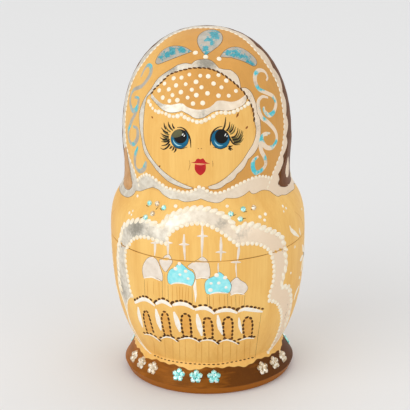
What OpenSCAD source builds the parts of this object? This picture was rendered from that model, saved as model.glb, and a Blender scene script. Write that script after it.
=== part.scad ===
// Nesting doll of turned wood. Six hollow dolls open at the waist and hold one another,
// and a solid smallest doll stands in the innermost. The largest doll has a flared foot
// with flower stones stuck round it, and round stones on both shoulders.

/* [Doll shape] */
// Height of the largest doll when closed
doll_h = 180; // [165:1:200]
// Diameter of the widest part of the body
belly_d = 99.3; // [95:0.1:106]
// Height of the widest part of the body
belly_z = 77; // [75:0.5:82]
// Diameter of the body where it stands
base_d = 59.4; // [54:0.1:66]
// Diameter of the neck, the narrowest place above the body
neck_d = 83.6; // [80:0.1:85]
// Height of the neck
neck_z = 108; // [104:0.5:112]
// Diameter of the widest part of the head
head_d = 85.5; // [84:0.1:90]
// Height of the widest part of the head
head_z = 125; // [120:0.5:132]
// Roundness of the crown, where 2 gives an ellipse
crown_power = 2.25; // [2:0.05:2.6]

/* [Curve shares] */
// How far the curve's pull at the base leans out, as a share of the swell
base_out_share = 0.58; // [0.4:0.01:0.8]
// How high the curve's pull at the base reaches, as a share of the belly's height
base_up_share = 0.325; // [0.2:0.005:0.4]
// How far the belly stays upright below its widest part
belly_under_share = 0.62; // [0.4:0.01:0.7]
// How far the belly stays upright above its widest part
belly_over_share = 0.71; // [0.5:0.01:0.8]
// How far the neck stays upright below its narrowest place
neck_under_share = 0.45; // [0.3:0.01:0.6]
// How far the neck stays upright above its narrowest place
neck_over_share = 0.41; // [0.2:0.01:0.5]
// How far the head stays upright below its widest part
head_under_share = 0.24; // [0.1:0.01:0.4]

/* [Foot] */
// Diameter of the foot at its edge
foot_d = 87.6; // [82:0.1:94]
// Diameter of the foot where it stands
foot_base_d = 84.2; // [80:0.1:87]
// Height of the foot's edge
foot_edge_h = 4.4; // [3:0.1:6]
// Height at which the flare meets the body
flare_h = 15.3; // [13:0.1:18]
// Broken edge under the foot
foot_bevel = 0.6; // [0.3:0.1:1]
// Broken edge under each inner doll
base_bevel = 1.2; // [0.6:0.1:2]

/* [Waist joint] */
// Height of the split between the two halves
split_z = 74.8; // [73:0.1:77]
// Height of the spigot that stands up from the lower half
spigot_h = 10; // [8:0.5:12]
// Wall of the spigot
spigot_wall = 3.4; // [2.6:0.1:4]
// Space at each side between spigot and socket
fit_gap = 0.1; // [0.06:0.01:0.1]
// Space between the spigot's top and the socket's end
spigot_end_gap = 0.6; // [0.4:0.1:1]
// Broken edge at the seam and on the spigot's lip
seam_bevel = 0.4; // [0.2:0.05:0.6]

/* [Nest] */
// Size of each doll as a share of the one around it
nest_share = 0.79; // [0.77:0.005:0.8]
// Floor of the largest doll's lower half
floor_t = 13; // [12:0.5:15]
// Space round the next doll, in the largest one
nest_gap = 2; // [1.5:0.1:2.4]

/* [Stones] */
// Width of a flower stone across its petals
flower_d = 6.3; // [5:0.1:7]
// Width of one petal
petal_d = 2.6; // [2.4:0.1:2.8]
// Thickness of a flower stone's flat back
flower_back_t = 0.5; // [0.4:0.1:0.8]
// How far a petal swells above the back
petal_swell = 0.6; // [0.4:0.1:0.8]
// Flat top of a petal as a share of its width
petal_top_share = 0.45; // [0.3:0.05:0.6]
// Width of a flower stone's middle
eye_d = 2; // [1.6:0.1:2.4]
// How far the middle stands above the petals
eye_rise = 0.3; // [0.1:0.1:0.5]
// Angle from one flower stone to the next in a group
flower_step_angle = 12.8; // [11:0.1:14]
// Place of the flower stones up the flare, as a share of its height
flower_height_share = 0.44; // [0.4:0.01:0.48]
// Diameter of a round stone
stone_d = 2.8; // [2:0.1:3.2]
// Height of a round stone's upright edge
stone_edge_h = 0.4; // [0.3:0.1:0.6]
// Height of a round stone's sloping crown
stone_crown_h = 0.6; // [0.4:0.1:0.8]
// Flat top of a round stone as a share of its diameter
stone_top_share = 0.5; // [0.4:0.05:0.7]
// Glue under the stones
glue_t = 0.2; // [0.15:0.05:0.3]

/* [Hidden] */
$fn = 96;
body_steps = 12;
shoulder_steps = 10;
neck_steps = 4;
crown_steps = 14;
petals = 5;
flowers_in_group = 3;
// Directions are counted from the doll's front, positive to the doll's left
teal_group_angles = [-5, 117, 243];
clear_group_angles = [-53, 59, 180];
teal_stone_angles = [-36.9, -25.1, -36.3, 19.4, 24.8, 28.2];
clear_stone_angles = [-30.7, -32, 35.9];
// Heights of the round stones between the split and the neck
teal_stone_height_shares = [0.753, 0.735, 0.56, 0.684, 0.602, 0.723];
clear_stone_height_shares = [0.771, 0.63, 0.717];
belly_r = belly_d / 2;
base_r = base_d / 2;
neck_r = neck_d / 2;
head_r = head_d / 2;
foot_r = foot_d / 2;
foot_base_r = foot_base_d / 2;
bore_r = belly_r * nest_share + nest_gap;
spigot_r = bore_r + spigot_wall;
socket_r = spigot_r + fit_gap;
socket_top = split_z + spigot_h + spigot_end_gap;
second_size = nest_share;
third_size = second_size * nest_share;
fourth_size = third_size * nest_share;
fifth_size = fourth_size * nest_share;
sixth_size = fifth_size * nest_share;
smallest_size = sixth_size * nest_share;
second_seat = floor_t;
third_seat = second_seat + floor_t * second_size;
fourth_seat = third_seat + floor_t * third_size;
fifth_seat = fourth_seat + floor_t * fourth_size;
sixth_seat = fifth_seat + floor_t * fifth_size;
smallest_seat = sixth_seat + floor_t * sixth_size;
wood_color = [0.86, 0.6, 0.28];
inner_wood_color = [0.89, 0.7, 0.42];
teal_color = [0.35, 0.75, 0.7];
clear_color = [0.88, 0.88, 0.84];

// A point on a smooth curve from a to d that is pulled towards b and c
function bend(a, b, c, d, t) =
  pow(1 - t, 3) * a + 3 * pow(1 - t, 2) * t * b + 3 * (1 - t) * t * t * c + t * t * t * d;

// The body from its base up to the belly
lower_curve = [for (i = [0 : body_steps]) bend(
  [base_r, 0],
  [base_r + base_out_share * (belly_r - base_r), base_up_share * belly_z],
  [belly_r, belly_z * (1 - belly_under_share)],
  [belly_r, belly_z],
  i / body_steps)];

// The shoulders from the belly in to the neck
shoulder_curve = [for (i = [1 : shoulder_steps]) bend(
  [belly_r, belly_z],
  [belly_r, belly_z + belly_over_share * (neck_z - belly_z)],
  [neck_r, neck_z - neck_under_share * (neck_z - belly_z)],
  [neck_r, neck_z],
  i / shoulder_steps)];

// The neck out to the widest part of the head
neck_curve = [for (i = [1 : neck_steps]) bend(
  [neck_r, neck_z],
  [neck_r, neck_z + neck_over_share * (head_z - neck_z)],
  [head_r, head_z - head_under_share * (head_z - neck_z)],
  [head_r, head_z],
  i / neck_steps)];

// The crown, a quarter of a rounded oval
crown_curve = [for (i = [1 : crown_steps]) [
  head_r * pow(cos(90 * i / crown_steps), 2 / crown_power),
  head_z + (doll_h - head_z) * pow(sin(90 * i / crown_steps), 2 / crown_power)]];

doll_curve = concat(lower_curve, shoulder_curve, neck_curve, crown_curve);
last = len(doll_curve) - 1;
radius_by_height = [for (p = doll_curve) [p[1], p[0]]];

// Radius of the body at a height
function body_r(z) = lookup(z, radius_by_height);

// Lean of the body's surface at a height, in degrees from upright
function body_lean(z) =
  atan2(body_r(z - stone_d / 2) - body_r(z + stone_d / 2), stone_d);

// The widest radius met so far, going up and going down
widest_below = [for (i = [0 : last]) max([for (j = [0 : i]) doll_curve[j][0]])];
widest_above = [for (i = [0 : last]) max([for (j = [i : last]) doll_curve[j][0]])];

// Half of a doll's outline; the largest stands on its flared foot
module doll_outline(footed) {
  start_z = footed ? flare_h : base_bevel;
  foot = footed
    ? [[foot_base_r - foot_bevel, 0], [foot_base_r, foot_bevel], [foot_r, foot_edge_h]]
    : [[base_r - base_bevel, 0]];
  body = [for (p = doll_curve) if (p[1] > start_z + base_bevel / 2) p];
  polygon(concat([[0, 0]], foot, [[body_r(start_z), start_z]], body));
}

// The hollow of a lower half: the next doll lifts straight out of it
module lower_hollow() {
  wall = [for (i = [0 : body_steps])
    [widest_below[i] * nest_share + nest_gap, doll_curve[i][1] * nest_share + floor_t]];
  polygon(concat([[0, floor_t]], wall, [[bore_r, doll_h], [0, doll_h]]));
}

// The hollow of an upper half: it lifts straight off the next doll
module upper_hollow() {
  wall = [for (i = [body_steps : last])
    [widest_above[i] * nest_share + nest_gap, doll_curve[i][1] * nest_share + floor_t + nest_gap]];
  roof_z = doll_h * nest_share + floor_t + nest_gap;
  polygon(concat([[0, 0], [bore_r, 0]], wall, [[0, roof_z]]));
}

// Breaks the outer edge at the seam, below it or above it
module seam_edge(side) {
  seam_r = body_r(split_z);
  translate([seam_r, split_z])
    polygon(seam_bevel * [[-2, side], [1, side], [1, -2 * side]]);
}

module lower_half(footed) {
  rotate_extrude() difference() {
    union() {
      intersection() {
        doll_outline(footed);
        square([foot_d, split_z]);
      }
      translate([0, split_z - spigot_h])
        square([spigot_r, 2 * spigot_h]);
    }
    lower_hollow();
    seam_edge(1);
    translate([spigot_r, split_z + spigot_h])
      polygon(seam_bevel * [[-2, 1], [1, 1], [1, -2]]);
  }
}

module upper_half() {
  rotate_extrude() difference() {
    intersection() {
      doll_outline(false);
      translate([0, split_z])
        square([foot_d, doll_h]);
    }
    upper_hollow();
    square([socket_r, socket_top]);
    seam_edge(-1);
  }
}

module doll_bottom(size, seat) {
  translate([0, 0, seat])
    scale(size) lower_half(false);
}

module doll_top(size, seat) {
  translate([0, 0, seat])
    scale(size) upper_half();
}

module outer_doll_bottom() {
  color(wood_color) lower_half(true);
}

module outer_doll_top() {
  color(wood_color) upper_half();
}

module second_doll_bottom() {
  color(inner_wood_color) doll_bottom(second_size, second_seat);
}

module second_doll_top() {
  color(inner_wood_color) doll_top(second_size, second_seat);
}

module third_doll_bottom() {
  color(inner_wood_color) doll_bottom(third_size, third_seat);
}

module third_doll_top() {
  color(inner_wood_color) doll_top(third_size, third_seat);
}

module fourth_doll_bottom() {
  color(inner_wood_color) doll_bottom(fourth_size, fourth_seat);
}

module fourth_doll_top() {
  color(inner_wood_color) doll_top(fourth_size, fourth_seat);
}

module fifth_doll_bottom() {
  color(inner_wood_color) doll_bottom(fifth_size, fifth_seat);
}

module fifth_doll_top() {
  color(inner_wood_color) doll_top(fifth_size, fifth_seat);
}

module sixth_doll_bottom() {
  color(inner_wood_color) doll_bottom(sixth_size, sixth_seat);
}

module sixth_doll_top() {
  color(inner_wood_color) doll_top(sixth_size, sixth_seat);
}

module smallest_doll() {
  color(inner_wood_color)
    translate([0, 0, smallest_seat])
      scale(smallest_size)
        rotate_extrude() doll_outline(false);
}

// Sets a stone on the surface: turned to its direction, at a radius and height, leaning with the wood
module on_surface(angle, radius, height, lean) {
  rotate(angle)
    translate([0, -radius, height])
      rotate([90 - lean, 0, 0])
        translate([0, 0, glue_t]) children();
}

// A petal with a flat back and a sloping edge
module petal() {
  petal_r = petal_d / 2;
  crown_r = petal_r * petal_top_share;
  crown_z = flower_back_t + petal_swell;
  rotate_extrude()
    polygon([[0, 0], [petal_r, 0], [petal_r, flower_back_t], [crown_r, crown_z], [0, crown_z]]);
}

module flower_stone() {
  for (i = [0 : petals - 1])
    rotate(360 * i / petals)
      translate([0, (flower_d - petal_d) / 2, 0]) petal();
  cylinder(h = flower_back_t + petal_swell + eye_rise, d = eye_d);
}

module flower_groups(group_angles) {
  slope_z = foot_edge_h + flower_height_share * (flare_h - foot_edge_h);
  slope_r = foot_r + flower_height_share * (body_r(flare_h) - foot_r);
  lean = atan2(foot_r - body_r(flare_h), flare_h - foot_edge_h);
  for (middle = group_angles, i = [0 : flowers_in_group - 1])
    on_surface(middle + (i - (flowers_in_group - 1) / 2) * flower_step_angle, slope_r, slope_z, lean)
      flower_stone();
}

module round_stone() {
  cylinder(h = stone_edge_h, d = stone_d);
  translate([0, 0, stone_edge_h])
    cylinder(h = stone_crown_h, d1 = stone_d, d2 = stone_d * stone_top_share);
}

module round_stones(angles, height_shares) {
  for (i = [0 : len(angles) - 1]) {
    z = split_z + height_shares[i] * (neck_z - split_z);
    on_surface(angles[i], body_r(z), z, body_lean(z)) round_stone();
  }
}

module teal_flower_stones() {
  color(teal_color) flower_groups(teal_group_angles);
}

module clear_flower_stones() {
  color(clear_color) flower_groups(clear_group_angles);
}

module teal_shoulder_stones() {
  color(teal_color) round_stones(teal_stone_angles, teal_stone_height_shares);
}

module clear_shoulder_stones() {
  color(clear_color) round_stones(clear_stone_angles, clear_stone_height_shares);
}

outer_doll_bottom();
outer_doll_top();
second_doll_bottom();
second_doll_top();
third_doll_bottom();
third_doll_top();
fourth_doll_bottom();
fourth_doll_top();
fifth_doll_bottom();
fifth_doll_top();
sixth_doll_bottom();
sixth_doll_top();
smallest_doll();
teal_flower_stones();
clear_flower_stones();
teal_shoulder_stones();
clear_shoulder_stones();
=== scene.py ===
import math
import bmesh
import bpy
from mathutils import Matrix, Vector
from mathutils.bvhtree import BVHTree
from mathutils.geometry import delaunay_2d_cdt


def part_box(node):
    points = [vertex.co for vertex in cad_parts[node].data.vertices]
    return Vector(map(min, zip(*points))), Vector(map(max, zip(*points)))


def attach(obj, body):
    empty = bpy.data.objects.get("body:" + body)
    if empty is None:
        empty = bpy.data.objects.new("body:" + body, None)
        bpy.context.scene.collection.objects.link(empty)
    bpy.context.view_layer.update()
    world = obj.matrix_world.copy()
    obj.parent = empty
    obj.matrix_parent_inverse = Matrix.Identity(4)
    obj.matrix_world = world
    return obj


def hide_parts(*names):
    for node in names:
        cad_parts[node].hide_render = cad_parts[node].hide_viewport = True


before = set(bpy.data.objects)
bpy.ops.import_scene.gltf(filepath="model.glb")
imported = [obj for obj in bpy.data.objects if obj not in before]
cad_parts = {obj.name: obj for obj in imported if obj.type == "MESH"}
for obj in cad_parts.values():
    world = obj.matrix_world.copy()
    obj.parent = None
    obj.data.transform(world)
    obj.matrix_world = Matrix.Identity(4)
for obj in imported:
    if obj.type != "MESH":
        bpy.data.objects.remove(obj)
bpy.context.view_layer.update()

# The camera of the photograph: a long lens a little to the doll's left, looking down by about twenty
# degrees and tilted by half a degree. Pixels are counted in the photograph's own frame, from its upper
# left corner.
mm = 0.001
photo_px = 410
focal_px = 2150.0
axis_px = (207.6, 205.0)
aim_height = 86.9 * mm
camera_distance = 1100 * mm
camera_pitch = math.radians(19.56)
camera_azimuth = math.radians(4.6)
camera_roll = math.radians(-0.61)

level_right = Vector((math.cos(camera_azimuth), math.sin(camera_azimuth), 0))
level_ahead = Vector((-math.sin(camera_azimuth), math.cos(camera_azimuth), 0))
ahead = level_ahead * math.cos(camera_pitch) - Vector((0, 0, math.sin(camera_pitch)))
level_up = level_right.cross(ahead)
right = level_right * math.cos(camera_roll) + level_up * math.sin(camera_roll)
up = level_up * math.cos(camera_roll) - level_right * math.sin(camera_roll)
eye = Vector((0, 0, aim_height)) - ahead * camera_distance

camera = bpy.data.objects.new("photo_camera", bpy.data.cameras.new("photo_camera"))
camera.matrix_world = Matrix.Translation(eye) @ Matrix((right, up, -ahead)).transposed().to_4x4()
camera.data.lens = camera.data.sensor_width * focal_px / photo_px
camera.data.shift_x = (photo_px / 2 - axis_px[0]) / photo_px
bpy.context.scene.collection.objects.link(camera)
bpy.context.scene.camera = camera

# The stage: a pale, matt table top under soft studio light. A large key lamp stands to the left and in
# front, a weaker one to the right, and an even white room fills the shadows.
floor_size = 6.0
floor_white = (0.80, 0.80, 0.80, 1)
floor_roughness = 0.9
floor_shine = 0.1
room_level = 0.69
lamps = [
    ("key_lamp", (-1.6, -1.8, 1.35), 2.6, 31.0),
    ("fill_lamp", (1.7, -1.5, 0.7), 1.8, 8.0),
    ("top_lamp", (0.3, 0.9, 2.4), 2.4, 13.5),
]
scene = bpy.context.scene
scene.view_settings.view_transform = "Standard"
scene.world = scene.world or bpy.data.worlds.new("studio_room")
scene.world.use_nodes = True
room = scene.world.node_tree.nodes["Background"]
room.inputs["Color"].default_value = (1, 1, 1, 1)
room.inputs["Strength"].default_value = room_level
for lamp_name, place, width, power in lamps:
    lamp = bpy.data.objects.new(lamp_name, bpy.data.lights.new(lamp_name, "AREA"))
    lamp.data.size = width
    lamp.data.energy = power
    lamp.location = place
    lamp.rotation_euler = (Vector((0, 0, aim_height)) - Vector(place)).to_track_quat("-Z", "Y").to_euler()
    scene.collection.objects.link(lamp)

floor_mesh = bpy.data.meshes.new("table_top")
half = floor_size / 2
corners = [(-half, -half, 0), (half, -half, 0), (half, half, 0), (-half, half, 0)]
floor_mesh.from_pydata(corners, [], [(0, 1, 2, 3)])
floor = bpy.data.objects.new("table_top", floor_mesh)
scene.collection.objects.link(floor)
floor_finish = bpy.data.materials.new("pale_table_top")
floor_finish.use_nodes = True
floor_shader = floor_finish.node_tree.nodes["Principled BSDF"]
floor_shader.inputs["Base Color"].default_value = floor_white
floor_shader.inputs["Roughness"].default_value = floor_roughness
floor_shader.inputs["Specular IOR Level"].default_value = floor_shine
floor_mesh.materials.append(floor_finish)

# The outer doll's lower half: linden wood turned with its flared foot in one piece, varnished amber
# outside. The foot is stained brown up to a wavy line, with a painted sheen on its left and painted shade
# on its right, and the hollow, the ledge and the spigot are left bare.
turn_steps = 256
profile_step = 1.5 * mm
corner_angle = math.radians(20)
same_ring = 0.03 * mm
faces_inward = -0.2
lies_level = 0.95
seam_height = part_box("outer_doll_top")[0].z
joint_dark = 0.53
foot_edge_height = 4.4 * mm
foot_edge_round = 0.2 * mm
stain_height = 13.2 * mm
stain_wave = 0.5 * mm
stain_waves = ((9, 1.0, 0), (17, 0.7, 1), (43, 0.5, 0))
# Painted light on the foot: a sheen lightens the stain's left side, and shade deepens its right side.
foot_sheen = 0.7
foot_shade = 0.6
amber_pale = (0.93, 0.58, 0.175, 1)
amber_deep = (0.80, 0.43, 0.10, 1)
amber_scarf = (0.72, 0.355, 0.082, 1)
brown_stain = (0.185, 0.052, 0.002, 1)
deep_stain = (0.055, 0.014, 0.002, 1)
worn_and_lit_stain = (0.36, 0.115, 0.010, 1)
amber_sheen = (1.0, 0.62, 0.28, 1)
plain_sheen = (1, 1, 1, 1)
bare_pale = (0.80, 0.62, 0.40, 1)
bare_deep = (0.70, 0.50, 0.29, 1)
fibre_scale = 1100
streak_scale = 110
cloud_scale = 38
smear_scale = 75
fibre_depth = 0.05 * mm
fibre_stretch = 0.05
smear_stretch = 5
streak_share, fibre_share, cloud_share = (0.55, 0.3, 0.35)
grain_spread = (0.45, 0.77)
scarf_shadow = 0.85
stain_ragged = 0.5
stain_edge = (0.55, 0.75)
stain_shadow = 0.6
smear_spread = (0.42, 0.66)
smear_most = 0.68


def smoothed(points, step, closed=False):
    """A soft curve through the points, with a point about every step."""
    through = [Vector(p) for p in points]
    count = len(through)
    curve = []
    for i in range(count if closed else count - 1):
        a = through[i]
        b = through[(i + 1) % count]
        before = through[i - 1] if closed or i else a * 2 - b
        after = through[(i + 2) % count] if closed or i + 2 < count else b * 2 - a
        parts = max(1, math.ceil((b - a).length / step))
        for k in range(parts):
            t = k / parts
            bend = (before * 2 - a * 5 + b * 4 - after) * t * t + (a * 3 - before - b * 3 + after) * t ** 3
            curve.append((a * 2 + (b - before) * t + bend) / 2)
    return curve if closed else curve + [through[-1]]


def section_of(node, step):
    """A turned node's outline (radius, height), from its lower or inner end to its other end on the axis."""
    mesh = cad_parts[node].data
    rough = [(round(math.hypot(v.co.x, v.co.y), 5), round(v.co.z, 5)) for v in mesh.vertices]
    home = {}
    for place in sorted(set(rough)):
        home[place] = next((p for p in home.values() if math.dist(p, place) < same_ring), place)
    ring = [home[place] for place in rough]
    beside = {}
    for edge in mesh.edges:
        a, b = (ring[i] for i in edge.vertices)
        if a != b:
            beside.setdefault(a, set()).add(b)
            beside.setdefault(b, set()).add(a)
    walk = [min((p for p in beside if len(beside[p]) == 1), key=lambda p: p[1])]
    while len(walk) == 1 or len(beside[walk[-1]]) == 2:
        walk.append(next(p for p in beside[walk[-1]] if p not in walk[-2:]))
    walk = [Vector(p) for p in [(0, walk[0][1])] + walk + [(0, walk[-1][1])]]
    outline, run = [], walk[:1]
    for before, here, after in zip(walk, walk[1:], walk[2:]):
        run.append(here)
        come, go = here - before, after - here
        if come.length and go.length and come.angle(go) > corner_angle:
            outline += smoothed(run, step)[:-1]
            run = [here]
    return outline + smoothed(run + walk[-1:], step)


def turned(name, node, steps, step):
    """A turned piece of wood: the node's section swept round the axis, left bare inside and at the joint."""
    points, faces, rows = [], [], []
    for radius, height in section_of(node, step):
        row = len(points)
        count = steps if radius > step / 100 else 1
        rows.append([row + k % count for k in range(steps + 1)])
        for k in range(count):
            angle = math.tau * k / steps
            points.append((radius * math.sin(angle), -radius * math.cos(angle), height))
    for low, high in zip(rows, rows[1:]):
        for k in range(steps):
            corners = (low[k], low[k + 1], high[k + 1], high[k])
            face = [c for i, c in enumerate(corners) if c != corners[i - 1]]
            if len(face) > 2:
                faces.append(face)
    mesh = bpy.data.meshes.new(name)
    mesh.from_pydata(points, [], faces)
    piece = bpy.data.objects.new(name, mesh)
    scene.collection.objects.link(piece)
    whole = node.endswith("top") or node.startswith("smallest")
    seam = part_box(node)[1].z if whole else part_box(node.replace("bottom", "top"))[0].z
    for face in mesh.polygons:
        outward = face.normal.x * face.center.x + face.normal.y * face.center.y
        inner = outward < faces_inward * math.hypot(face.center.x, face.center.y)
        end = face.normal.z < -lies_level or (face.normal.z > lies_level and node.endswith("bottom"))
        face.material_index = 1 if inner or end or face.center.z > seam else 0
    mesh.shade_smooth()
    mesh.set_sharp_from_angle(angle=corner_angle)
    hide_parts(node)
    return piece


def wire(tree, kind, inputs=None, **settings):
    """Adds a node to a tree. Each input is a plain value or another node's output."""
    made = tree.nodes.new(kind)
    for key, value in settings.items():
        setattr(made, key, value)
    for key, value in (inputs or {}).items():
        if isinstance(value, bpy.types.NodeSocket):
            tree.links.new(value, made.inputs[key])
        else:
            made.inputs[key].default_value = value
    return made


def new_finish(name, **sockets):
    """A new finish, its node tree and its shader, with the shader's plain values set."""
    finish = bpy.data.materials.new(name)
    finish.use_nodes = True
    shader = finish.node_tree.nodes["Principled BSDF"]
    for key, value in sockets.items():
        shader.inputs[key.replace("_", " ")].default_value = value
    return finish, finish.node_tree, shader


def plugged(tree, shader, **sockets):
    """Links the shader's sockets to what drives them."""
    for key, value in sockets.items():
        tree.links.new(value, shader.inputs[key.replace("_", " ")])


def mixed(tree, share, first, second):
    """A colour between two others."""
    blend = wire(tree, "ShaderNodeMix", data_type="RGBA")
    for socket, value in (("Factor_Float", share), ("A_Color", first), ("B_Color", second)):
        port = next(i for i in blend.inputs if i.identifier == socket)
        if isinstance(value, bpy.types.NodeSocket):
            tree.links.new(value, port)
        else:
            port.default_value = value
    return next(o for o in blend.outputs if o.identifier == "Result_Color")


def darker(colour, share):
    """A colour with a share of its light."""
    return tuple(share * c for c in colour[:3]) + (1,)


def on_piece(tree):
    """The place on the piece."""
    return wire(tree, "ShaderNodeTexCoord").outputs["Object"]


def held(tree, name):
    """The value that the mesh holds at each of its points under a name."""
    return wire(tree, "ShaderNodeAttribute", attribute_name=name).outputs["Fac"]


def stretched(tree, place, size):
    """The place, drawn out along the height."""
    return wire(tree, "ShaderNodeMapping", {"Vector": place, "Scale": (1, 1, size)}).outputs["Vector"]


def noise(tree, place, scale, detail, roughness=0.5, distortion=0.0):
    """An uneven tone."""
    values = {"Vector": place, "Scale": scale, "Detail": detail, "Roughness": roughness,
              "Distortion": distortion}
    return wire(tree, "ShaderNodeTexNoise", values).outputs["Fac"]


def ramp(tree, value, low, high, top=1.0):
    """A value spread from nought at its low end to the top at its high end."""
    values = {"Value": value, "From Min": low, "From Max": high, "To Max": top}
    return wire(tree, "ShaderNodeMapRange", values).outputs["Result"]


def scaled(tree, value, factor, plus=0.0):
    """A value times a factor, and something more."""
    return wire(tree, "ShaderNodeMath", {0: value, 1: factor, 2: plus}, operation="MULTIPLY_ADD").outputs[0]


def relief(tree, height, strength, depth):
    """The tilt that a fine relief gives to the surface."""
    values = {"Height": height, "Strength": strength, "Distance": depth}
    return wire(tree, "ShaderNodeBump", values).outputs["Normal"]


def wood_finish(name, pale, deep, varnish, roughness, takes_stain):
    """Linden with upright fibres and broad streaks, stained where the piece's stain attribute says so."""
    finish, tree, shader = new_finish(name, Coat_Roughness=0.3, Specular_IOR_Level=0.2)
    place = on_piece(tree)
    upright = stretched(tree, place, fibre_stretch)
    streaks = noise(tree, upright, streak_scale, 3, distortion=0.4)
    fibres = noise(tree, upright, fibre_scale, 4, 0.6)
    clouds = noise(tree, place, cloud_scale, 2)
    coarse = scaled(tree, fibres, fibre_share, scaled(tree, streaks, streak_share))
    spread = ramp(tree, scaled(tree, clouds, cloud_share, coarse), *grain_spread)
    tinted = mixed(tree, spread, amber_scarf, darker(amber_scarf, scarf_shadow))
    wood = mixed(tree, held(tree, "tint"), mixed(tree, spread, pale, deep), tinted)
    ragged = scaled(tree, clouds, stain_ragged, held(tree, "stain"))
    edge = ramp(tree, ragged, *stain_edge, 1.0 if takes_stain else 0.0)
    # Above nought the stain is lighter, from wear and painted sheen; below nought it is deeper, from a
    # heavier coat and painted shade.
    thin = held(tree, "worn")
    smears = noise(tree, stretched(tree, place, smear_stretch), smear_scale, 4, 0.6)
    faded = scaled(tree, ramp(tree, smears, *smear_spread, smear_most), 1.0, thin)
    dark = mixed(tree, fibres, brown_stain, darker(brown_stain, stain_shadow))
    brown = mixed(tree, faded, mixed(tree, scaled(tree, thin, -1.0), dark, deep_stain), worn_and_lit_stain)
    plugged(tree, shader, Base_Color=mixed(tree, edge, wood, brown),
            Coat_Weight=scaled(tree, edge, -0.5 * varnish, varnish),
            Specular_Tint=mixed(tree, edge, plain_sheen, amber_sheen),
            Roughness=scaled(tree, fibres, 0.15, roughness),
            Normal=relief(tree, fibres, 0.12, fibre_depth))
    return finish


def store(mesh, name, values, kind="FLOAT"):
    """Keeps a number, or a vector, at each point of a mesh under a name."""
    layer = mesh.attributes.new(name, kind, "POINT")
    if kind == "FLOAT":
        layer.data.foreach_set("value", values)
    else:
        layer.data.foreach_set("vector", [c for v in values for c in v])


def stained(piece, depth_at):
    """Gives a turned piece its stain: how deep each point lies in it, in millimetres, and how much wear and
    painted sheen lighten it, or a heavier coat and painted shade deepen it.
    """
    for name, values in zip(("stain", "worn"), zip(*(depth_at(v.co) for v in piece.data.vertices))):
        store(piece.data, name, values)


def joint_stain(point):
    """The joint's edges are dark from handling."""
    return joint_dark - abs(point.z - seam_height) / mm


def foot_stain(point):
    """The foot's stain ends at a wavy line. Wear takes it off at the lower edge, and it is painted lighter on
    the left side as sheen and deeper on the right side as shade.
    """
    angle = math.atan2(point.x, -point.y)
    line = stain_height + stain_wave * sum(s * math.sin(n * angle + start) for n, s, start in stain_waves)
    side = math.sin(angle)
    worn = (-foot_shade if side > 0 else -foot_sheen) * side
    if point.z < foot_edge_height - foot_edge_round:
        worn = 1.0
    return max((line - point.z) / mm, joint_stain(point)), worn


varnished = wood_finish("varnished_linden", amber_pale, amber_deep, 0.16, 0.5, True)
bare = wood_finish("bare_linden", bare_pale, bare_deep, 0.0, 0.6, False)
lower_half = turned("outer_doll_lower_half", "outer_doll_bottom", turn_steps, profile_step)
stained(lower_half, foot_stain)
for finish in (varnished, bare):
    lower_half.data.materials.append(finish)
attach(lower_half, "outer_bottom")

# The outer doll's upper half: head, neck and shoulders turned in one piece, varnished like the lower
# half. The back of the head is stained brown inside the scarf's border, as far down as the hem.
head_middle = 120 * mm
hem_height = 102 * mm
head_heavy = 0.3
border_lap = 3 * mm
border_bends = [(0, 1.6), (7, 1.4), (12.6, 0), (19, -3), (26, -7), (33, -9.2), (49, -10.5), (56, -12.8),
                (71, -15), (83, -17.4), (92, -20.3), (100, -23.2), (110, -26), (120, -29)]


def border_depth(angle):
    """How far back the scarf's dotted edge lies, at an angle from the crown down either side of the head."""
    side = abs(math.degrees(angle))
    for (a, low), (b, high) in zip(border_bends, border_bends[1:]):
        if side <= b:
            return (low + (high - low) * (side - a) / (b - a)) * mm
    return border_bends[-1][1] * mm


def head_stain(point):
    """The back of the head is stained from behind the border's front edge to the hem."""
    angle = math.atan2(point.x, point.z - head_middle)
    field = min(point.y - border_depth(angle) - border_lap, point.z - hem_height) / mm
    return max(field, joint_stain(point)), -head_heavy


upper_half = turned("outer_doll_upper_half", "outer_doll_top", turn_steps, profile_step)
stained(upper_half, head_stain)
for finish in (varnished, bare):
    upper_half.data.materials.append(finish)
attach(upper_half, "outer_top")

# The scarf's border: a band of silver paint that runs over the head from one side of the hem to the
# other. It is brushed on flat, scalloped along its back edge, and short cream dabs are set along its
# front edge.
paint_sunk = 0.03 * mm
paint_edge = 0.35
paint_corner = math.radians(50)
brush_scale = 1500
brush_depth = 0.1 * mm
stroke_section = ((-1, -1), (-0.7, 0.75), (0, 1), (0.7, 0.75), (1, -1))
seam_half = 0.25 * mm
halves = (("upper", "outer_top"), ("lower", "outer_bottom"))
painted = []
silver_pale = (0.88, 0.82, 0.70, 1)
silver_dull = (0.66, 0.59, 0.48, 1)
# Painted reflection: the silver takes on the amber of the wood towards the doll's right side.
silver_amber_reflection = (0.91, 0.73, 0.54, 1)
silver_darkened = (0.36, 0.33, 0.27, 1)
amber_reflection_from = -12 * mm
amber_reflection_to = 34 * mm
speckle_scale = 900
speckle_share = 0.35
darkening_share = 0.42
rub_spread = (0.78, 1.06)
silver_grain = 2.0
patch_scale = 62
patch_shift = (0.0, 0.11, 0.017)
cream_pale = (0.97, 0.90, 0.74, 1)
cream_dull = (0.90, 0.76, 0.53, 1)
burnt_dark = (0.05, 0.02, 0.007, 1)
burnt_brown = (0.17, 0.07, 0.02, 1)
outline_burn = (0.22, 0.22)
border_width = 5.4
border_scallop = 2.6
border_scallop_angle = 13
border_end_angle = 113
border_thinner = 1.9
border_thin_from = 32
border_thin_turn = 2.2
dab_pitch = 2.6 * mm
dab_size = (2.1 * mm, 1.45 * mm, 0.6 * mm)
dab_lean = Vector((0.01, 0.02, 1))
dab_seed = 7


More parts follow.
